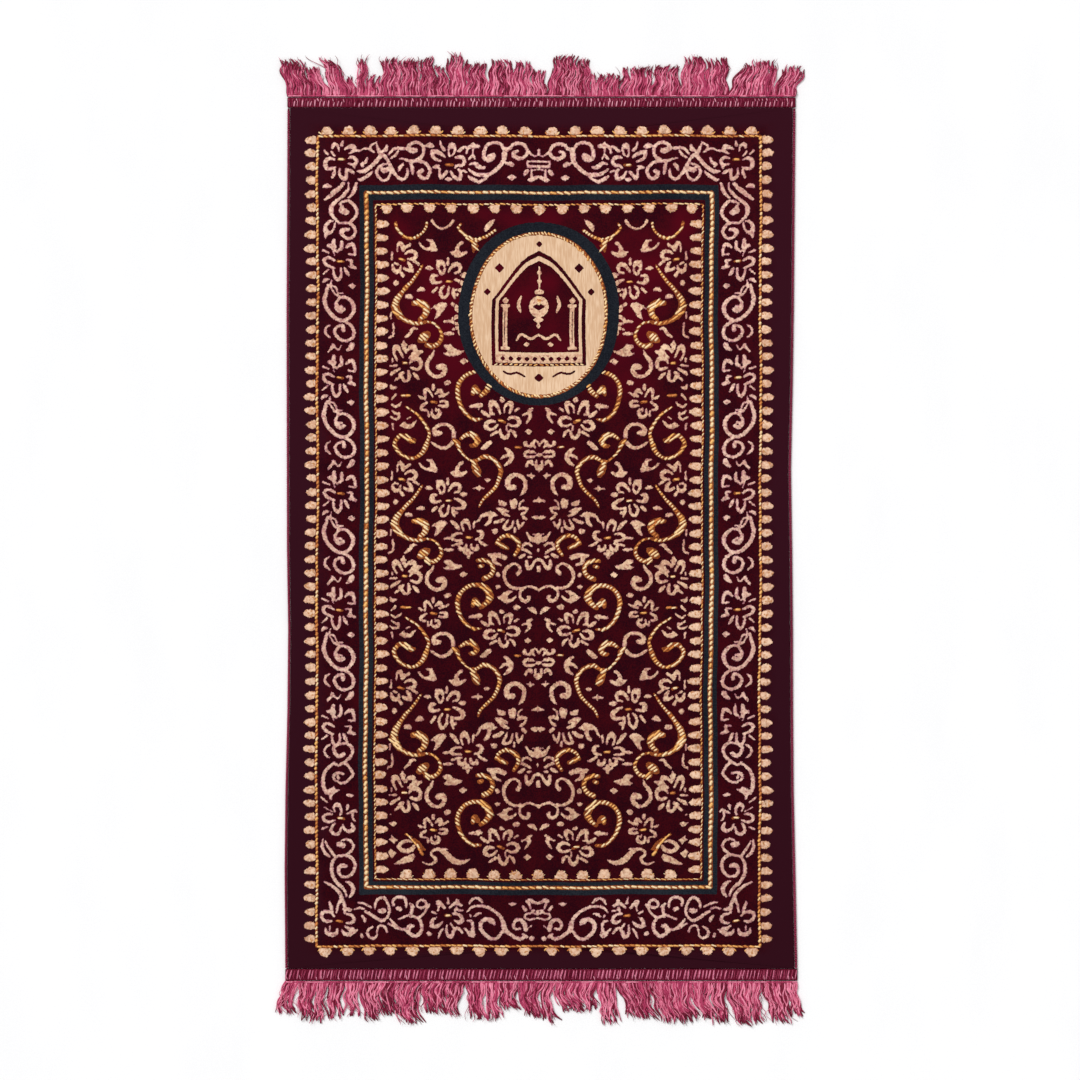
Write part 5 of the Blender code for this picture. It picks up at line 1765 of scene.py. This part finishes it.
@dataclass
class EndBinding:
    """An overlocked end: a padded strip closed over with slanted whip stitches."""

    name: str
    end: int
    stitch_rows: tuple[StitchRow, ...]
    crest: float = 0.0040
    seed: int = 4
    # The strip: how far it stays under the crest and inside the band, its bevel, and the sharpest
    # bend that is shaded smooth, in degrees.
    strip_sink: float = 0.0009
    strip_gap: float = 0.0006
    bevel: float = 0.0011
    smooth_bend: float = 50.0
    # A stitch: its points, how far it stays inside the band, its foot, and how much lower its top is
    # than the crest.
    steps: int = 8
    side_gap: float = 0.001
    foot: float = 0.0006
    top_drop: float = 0.0007
    # How it scatters: where it starts and stops, along the band, in slant and in width.
    reach_scatter: Pair = (0.04, 0.06)
    pitch_scatter: float = 0.12
    slant_scatter: float = 0.25
    width_scatter: Pair = (0.65, 1.3)
    # How square its arch and its tips are, as powers of a sine, and its height beside its width.
    arch: float = 0.45
    tips: float = 0.35
    flatness: float = 0.8

    def build(self) -> None:
        """Make the strip, to stand for the CAD band, and its stitches."""
        low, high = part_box(self.name)
        self._strip(low, high)
        self._stitches(low, high)

    def _strip(self, low: Vector, high: Vector) -> None:
        """Shape the padded strip from a box."""
        bpy.ops.object.select_all(action="DESELECT")
        size, middle = high - low, (low + high) / 2
        depth = self.crest - self.strip_sink
        bpy.ops.mesh.primitive_cube_add(size=1, location=(middle.x, middle.y, depth / 2),
                                        scale=(size.x - self.strip_gap, size.y - self.strip_gap, depth))
        strip = bpy.context.object
        strip.name = self.name.replace("end_binding", "binding_strip")
        bpy.ops.object.transform_apply(location=True, rotation=True, scale=True)
        bpy.ops.object.mode_set(mode="EDIT")
        bpy.ops.mesh.select_all(action="SELECT")
        bpy.ops.mesh.bevel(offset=self.bevel, segments=2, affect="EDGES")
        bpy.ops.object.mode_set(mode="OBJECT")
        bpy.ops.object.shade_smooth_by_angle(angle=math.radians(self.smooth_bend))
        strip.data.materials.append(WHIP_FINISHES[2].make())
        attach(strip, "root")
        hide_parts(self.name)

    def _stitches(self, low: Vector, high: Vector) -> None:
        """Lay the slanted threads over the strip."""
        scatter = random.Random(self.seed + self.end)
        outer, inner = (high.y, low.y) if self.end > 0 else (low.y, high.y)
        paths, slots = [], []
        for row in self.stitch_rows:
            near, far = row.reach
            for n in range(int((high.x - low.x) / row.pitch)):
                start = max(near + scatter.gauss(0, self.reach_scatter[0]), 0.01)
                stop = min(far + scatter.gauss(0, self.reach_scatter[1]), 0.98)
                shares, run = np.linspace(start, stop, self.steps), np.linspace(0, 1, self.steps)
                x = low.x + row.pitch * (n + 0.5) + scatter.gauss(0, self.pitch_scatter * row.pitch)
                x = x + row.slant * scatter.gauss(1, self.slant_scatter) * (run - 0.5) * self.end
                arc = np.sin(np.pi * np.clip(shares, 0.03, 0.97)) ** self.arch
                round_off = np.sin(np.pi * np.clip(run, 0.1, 0.9)) ** self.tips
                half = row.thread * scatter.uniform(*self.width_scatter) * round_off
                paths.append(np.column_stack([np.clip(x, low.x + self.side_gap, high.x - self.side_gap),
                                              inner + (outer - inner) * shares,
                                              self.foot + row.lift + (self.crest - self.top_drop) * arc,
                                              half, half * self.flatness]))
                lot = scatter.random()
                slots.append(row.light if lot < row.odds[0] else 1 if lot < row.odds[1] else 2)
        points, faces, owner = tubes(paths, 5, math.pi / 2)
        points[:, 2] = np.maximum(points[:, 2], FLOOR_GAP)
        piece = add_piece(self.name.replace("end_binding", "whip_stitches"), points, faces,
                          np.array(slots)[owner], WHIP_FINISHES)


TOP_STITCHES = (StitchRow((0.06, 0.62), 0.0060, 0.0014, 0.00082, (0.88, 1.0)),
                StitchRow((0.58, 0.95), 0.0050, -0.0016, 0.00075, (0.3, 0.9)),
                StitchRow((0.10, 0.85), 0.0047, 0.0018, 0.00060, (0.0, 0.8), -0.0002))
BOTTOM_STITCHES = (StitchRow((0.06, 0.88), 0.0051, 0.0028, 0.00105, (0.74, 1.0), light=3),
                   StitchRow((0.04, 0.95), 0.0050, 0.0030, 0.00090, (0.0, 0.45), -0.0003),
                   StitchRow((0.55, 0.98), 0.0078, -0.0022, 0.00060, (0.35, 1.0), 0.0002))


@dataclass(frozen=True)
class Tuft:
    """A lock of the fringe, in millimetres.

    It grows from a stretch of the heading, gathers about the middle of its tips and reaches out.
    """

    root_from: float
    root_to: float
    tip_centre: float
    tip_half: float
    reach: float


def tuft_rows(*rows: tuple[float, ...]) -> tuple[Tuft, ...]:
    """Tufts from rows of their five measures."""
    return tuple(Tuft(*row) for row in rows)


TOP_TUFTS = tuft_rows(
    (-349, -336, -357, 6, 53), (-336, -315, -341, 8, 54), (-315, -290, -320, 9, 43),
    (-290, -263, -297, 8, 56), (-263, -253, -268, 5, 30), (-253, -240, -246, 4, 58),
    (-240, -222, -229, 8, 32), (-222, -194, -204, 11, 56), (-194, -167, -179, 10, 54),
    (-167, -143, -156, 8, 57), (-143, -126, -138, 7, 45), (-126, -106, -118, 7, 62),
    (-106, -73, -90, 14, 49), (-73, -40, -57, 13, 54), (-40, -10, -27, 11, 50), (-10, 7, -4, 5, 38),
    (7, 42, 34, 10, 59), (42, 67, 57, 8, 55), (67, 108, 90, 17, 34), (108, 149, 134, 17, 43),
    (149, 190, 173, 15, 45), (190, 224, 211, 13, 58), (224, 256, 242, 12, 56), (256, 280, 286, 8, 46),
    (280, 320, 313, 13, 52), (320, 349, 349, 12, 45))
BOTTOM_TUFTS = tuft_rows(
    (-352, -331, -350, 9, 47), (-331, -307, -323, 8, 55), (-307, -293, -308, 5, 60),
    (-293, -270, -287, 8, 54), (-270, -249, -258, 10, 50), (-249, -216, -230, 12, 56),
    (-216, -197, -205, 9, 50), (-197, -161, -179, 12, 60), (-161, -126, -145, 13, 47),
    (-126, -104, -122, 7, 50), (-104, -76, -89, 11, 55), (-76, -57, -66, 6, 57), (-57, -30, -41, 11, 41),
    (-30, 5, -7, 11, 52), (5, 20, 15, 5, 61), (20, 78, 54, 26, 44), (78, 101, 98, 9, 61),
    (101, 146, 140, 19, 54), (146, 204, 190, 24, 60), (204, 234, 232, 11, 54), (234, 256, 254, 8, 61),
    (256, 303, 287, 18, 62), (303, 336, 331, 12, 60), (336, 351, 354, 6, 51))


@dataclass(frozen=True)
class YarnLayer:
    """One layer of a fringe's yarns."""

    name: str
    pitch: float
    # The shortest and longest yarn, as shares of a tuft's reach.
    lengths: Pair
    # Half a yarn's width, the lowest and highest place that it lies at, and how far it wanders.
    width: float
    levels: Pair
    crinkle: float
    steps: int
    sides: int
    # How many yarns are pale, and how many are pale or rose, where these aren't the fringe's own.
    odds: Pair | None = None


# The under-yarn mostly takes the rose and deep finishes, as painted shade beneath the crinkled yarns.
YARN_LAYERS = (YarnLayer("under_yarn", 0.0027, (0.72, 0.97), 0.0018, (0.0010, 0.0015), 0.0008, 12, 5,
                         (0.03, 0.5)),
               YarnLayer("crinkled_yarn", 0.0021, (0.6, 1.0), 0.00105, (0.0018, 0.0034), 0.0013, 18, 5),
               YarnLayer("stray_fibres", 0.0030, (0.5, 1.02), 0.0005, (0.0014, 0.0046), 0.0028, 18, 3))


@dataclass
class Fringe:
    """One end's fringe: a layer of loose under-yarn, crinkled yarns over it and fine stray fibres."""

    name: str
    end: int
    tufts: tuple[Tuft, ...]
    pale_odds: Pair = (0.5, 0.85)
    # How far roots draw together, and where on their way out.
    gather: float = 0.10
    gather_run: Pair = (0.12, 0.6)
    sway: float = 0.0020
    sway_length: float = 0.030
    sway_drift: float = 24.0
    early_lean: float = 0.55
    curl: float = 0.0035
    bow: float = 0.0
    # How the bow varies along the heading: its base, its swing, and the swing's rate and start.
    bow_wave: tuple[float, ...] = (0.6, 0.4, 31, 1)
    # How far tips spread, how many keep to their tuft, and how far those and the others stray.
    tip_spread: float = 1.2
    tame: float = 0.85
    tip_strays: Pair = (0.0020, 0.0075)
    crinkle_lengths: Pair = (0.016, 0.030)
    # Where a yarn starts, and how it rises and falls.
    root_gap: float = 0.0004
    root_height: float = 0.0022
    lift: float = 0.0006
    lift_length: float = 0.02
    # How much it thins, what is left of it at the tip, and its height beside its width.
    taper: float = 0.3
    tip: float = 0.55
    flatness: float = 0.75
    seed: int = 21

    def __post_init__(self) -> None:
        """Find the heading's place and start the scatter."""
        low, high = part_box(self.name)
        self.side = "top" if self.end > 0 else "bottom"
        self.start = low.y if self.end > 0 else high.y
        self.left = self.tufts[0].root_from * MM
        self.right = self.tufts[-1].root_to * MM
        self.scatter = random.Random(self.seed + self.end)

    def _tuft(self, x: float) -> Tuft:
        """The tuft whose stretch of heading holds x."""
        return next((tuft for tuft in self.tufts if x <= tuft.root_to * MM), self.tufts[-1])

    def _strand(self, root: float, length: float, width: float, level: float, crinkle: float,
                steps: int) -> Array:
        """Run one yarn from the heading to its tip.

        Args:
            root: X of its root.
            length: How much of its tuft's reach it has.
            width: Its half width at the root.
            level: How high it lies.
            crinkle: How far it wanders.
            steps: How many points it has.

        Returns:
            Rows of X, Y, Z, half width and half height.
        """
        tuft, draw = self._tuft(root), self.scatter
        middle = (tuft.root_from + tuft.root_to) / 2 * MM
        half = (tuft.root_to - tuft.root_from) / 2 * MM
        stray = self.tip_strays[0 if draw.random() < self.tame else 1]
        tip = (tuft.tip_centre * MM + (root - middle) * self.tip_spread * tuft.tip_half * MM / half
               + draw.gauss(0, stray))
        share = np.linspace(0, 1, steps)
        out = share * length * tuft.reach * MM
        full = share * length
        eased = full * (self.early_lean + (1 - self.early_lean) * full)
        wave = self.sway * np.sin(2 * math.pi * out / self.sway_length + self.sway_drift * root)
        phase, wavelength = draw.uniform(0, 6.28), draw.uniform(*self.crinkle_lengths)
        wander = crinkle * np.sin(2 * math.pi * out / wavelength + phase) * np.minimum(1, 3 * share)
        curl = draw.gauss(0, self.curl) * full ** 3
        gather = 1 - self.gather * smoothstep(*self.gather_run, share)
        base, swing, rate, start = self.bow_wave
        wander -= self.bow * (base + swing * math.sin(rate * root + start)) * np.sin(np.pi * share)
        x = (middle + (root - middle) * gather + (tip - root) * eased + wave * np.minimum(1, 3 * share)
             + wander + curl)
        y = self.start + self.end * (self.root_gap + out)
        z = level + self.lift * np.sin(2 * math.pi * out / self.lift_length + phase)
        z = self.root_height + (z - self.root_height) * np.minimum(1, 5 * share)
        thick = width * (1 - self.taper * share ** 3)
        thick[-1] *= self.tip
        height = thick * self.flatness
        return np.column_stack([x, y, np.maximum(z, height + FLOOR_GAP), thick, height])

    def _layer(self, layer: YarnLayer) -> bpy.types.Object:
        """Lay one layer of yarns.

        Args:
            layer: Its sizes.

        Returns:
            The layer's piece.
        """
        paths, slots = [], []
        draw, sides = self.scatter, layer.sides
        light, middling = layer.odds or self.pale_odds
        count = int((self.right - self.left) / layer.pitch)
        for index in range(count):
            root = self.left + (self.right - self.left) * (index + 0.5) / count
            root += draw.uniform(-0.3, 0.3) * layer.pitch
            root = min(max(root, self.left + layer.width), self.right - layer.width)
            level = draw.uniform(*layer.levels)
            length = draw.triangular(*layer.lengths, layer.lengths[1])
            paths.append(self._strand(root, length, layer.width * draw.uniform(0.8, 1.2), level,
                                      layer.crinkle * draw.uniform(0.4, 1.3), layer.steps))
            lot = draw.random()
            slots.append(0 if lot < light else 1 if lot < middling else 2)
        points, faces, owner = tubes(paths, sides, math.pi / 2)
        # The last two stretches of each yarn, and its end caps, take the next darker finish.
        darker_tip = np.tile(np.arange((layer.steps - 1) * sides + 2) >= (layer.steps - 3) * sides, len(paths))
        piece = add_piece(f"{layer.name}_{self.side}", points, faces,
                          np.minimum(np.array(slots)[owner] + darker_tip, 2), YARN_FINISHES)
        return piece

    def _heading(self) -> None:
        """Run the chain-stitched line that holds the yarns."""
        count, link, height, out = 240, 18, 0.0034, 0.0014
        x = np.linspace(self.left + 0.001, self.right - 0.001, count)
        waver = np.array([self.scatter.uniform(-1, 1) for _ in range(count)]) * 0.00025
        beads = 0.0007 + 0.00022 * np.sin(np.arange(count) * 2.4) + 0.4 * np.abs(waver)
        path = np.column_stack([x, self.start + self.end * out + waver, np.full(count, height), beads * 1.1,
                                beads])
        points, faces, _ = tubes([path], 6)
        shade = [int(self.scatter.random() < 0.45) for _ in range(count // 3 + 1)]
        slots = np.array([shade[n // link] for n in range(len(faces))])
        piece = add_piece(f"chain_line_{self.side}", points, faces, slots, YARN_FINISHES[:2])

    def build(self) -> None:
        """Lay the layers, of which the under-yarn stands for the CAD strands, and the heading."""
        under, *_ = [self._layer(layer) for layer in YARN_LAYERS]
        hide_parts(self.name)
        self._heading()


@dataclass
class Studio:
    """The pale floor, the soft light and the camera straight above."""

    centre: Pair = (-0.00206, -0.00137)
    view_width: float = 1.4823
    lens: float = 100.0
    sensor: float = 36.0
    surface: float = 0.004
    floor_size: float = 8.0
    floor_drop: float = 0.0002
    room_light: float = 0.62
    # The key light: its strength, its width and its turn about X and Y, in degrees.
    key_energy: float = 1.9
    key_width: float = 24.0
    key_turn: Pair = (-34.0, -30.0)

    def floor(self) -> None:
        """Lay a pale floor under the rug."""
        bpy.ops.object.select_all(action="DESELECT")
        bpy.ops.mesh.primitive_plane_add(size=self.floor_size, location=(0, 0, -self.floor_drop))
        floor = bpy.context.object
        floor.name = "pale_floor"
        bpy.ops.object.transform_apply(location=True, rotation=True, scale=True)
        paint = Finish("floor_paint", (252, 252, 252), (247, 247, 248), 0.9, bump=0.0)
        floor.data.materials.append(paint.make())

    def lights(self) -> None:
        """Light the rug softly, with a broad key from the upper left."""
        world = bpy.data.worlds.new("soft_room")
        world.use_nodes = True
        background = world.node_tree.nodes["Background"]
        background.inputs["Color"].default_value = (1.0, 1.0, 1.0, 1.0)
        background.inputs["Strength"].default_value = self.room_light
        bpy.context.scene.world = world
        bpy.ops.object.light_add(type="SUN", rotation=(*map(math.radians, self.key_turn), 0))
        key = bpy.context.object
        key.name = "key_light"
        key.data.energy = self.key_energy
        key.data.angle = math.radians(self.key_width)

    def camera(self) -> None:
        """Look straight down through a long lens."""
        height = self.view_width * self.lens / self.sensor
        bpy.ops.object.camera_add(location=(*self.centre, height + self.surface), rotation=(0, 0, 0))
        eye = bpy.context.object
        eye.name = "overhead_camera"
        eye.data.lens = self.lens
        eye.data.sensor_width = self.sensor
        bpy.context.scene.camera = eye
        bpy.context.scene.view_settings.view_transform = "Standard"


def main() -> None:
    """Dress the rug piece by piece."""
    logging.basicConfig(level=logging.INFO, format="%(name)s: %(message)s")
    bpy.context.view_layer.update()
    loom, outline = Loom(), RugOutline()
    pattern, border, medallion = FieldPattern(), BorderPattern(), Medallion()
    cloth = PileCloth(loom, outline, pattern, border, medallion).build()
    GoldThread(loom, pattern, border, medallion).build()
    for name, side in (("selvedge_left", -1), ("selvedge_right", 1)):
        Selvedge(name, side, outline).build()
    EndBinding("end_binding_top", 1, TOP_STITCHES).build()
    EndBinding("end_binding_bottom", -1, BOTTOM_STITCHES).build()
    Fringe("fringe_top", 1, TOP_TUFTS).build()
    Fringe("fringe_bottom", -1, BOTTOM_TUFTS, (0.62, 0.9), gather=0.2, sway=0.0015, early_lean=1.3,
           curl=0.006, bow=0.008).build()
    studio = Studio()
    studio.floor()
    studio.lights()
    studio.camera()
    LOG.info("sizes written")


if __name__ == "__main__":
    main()
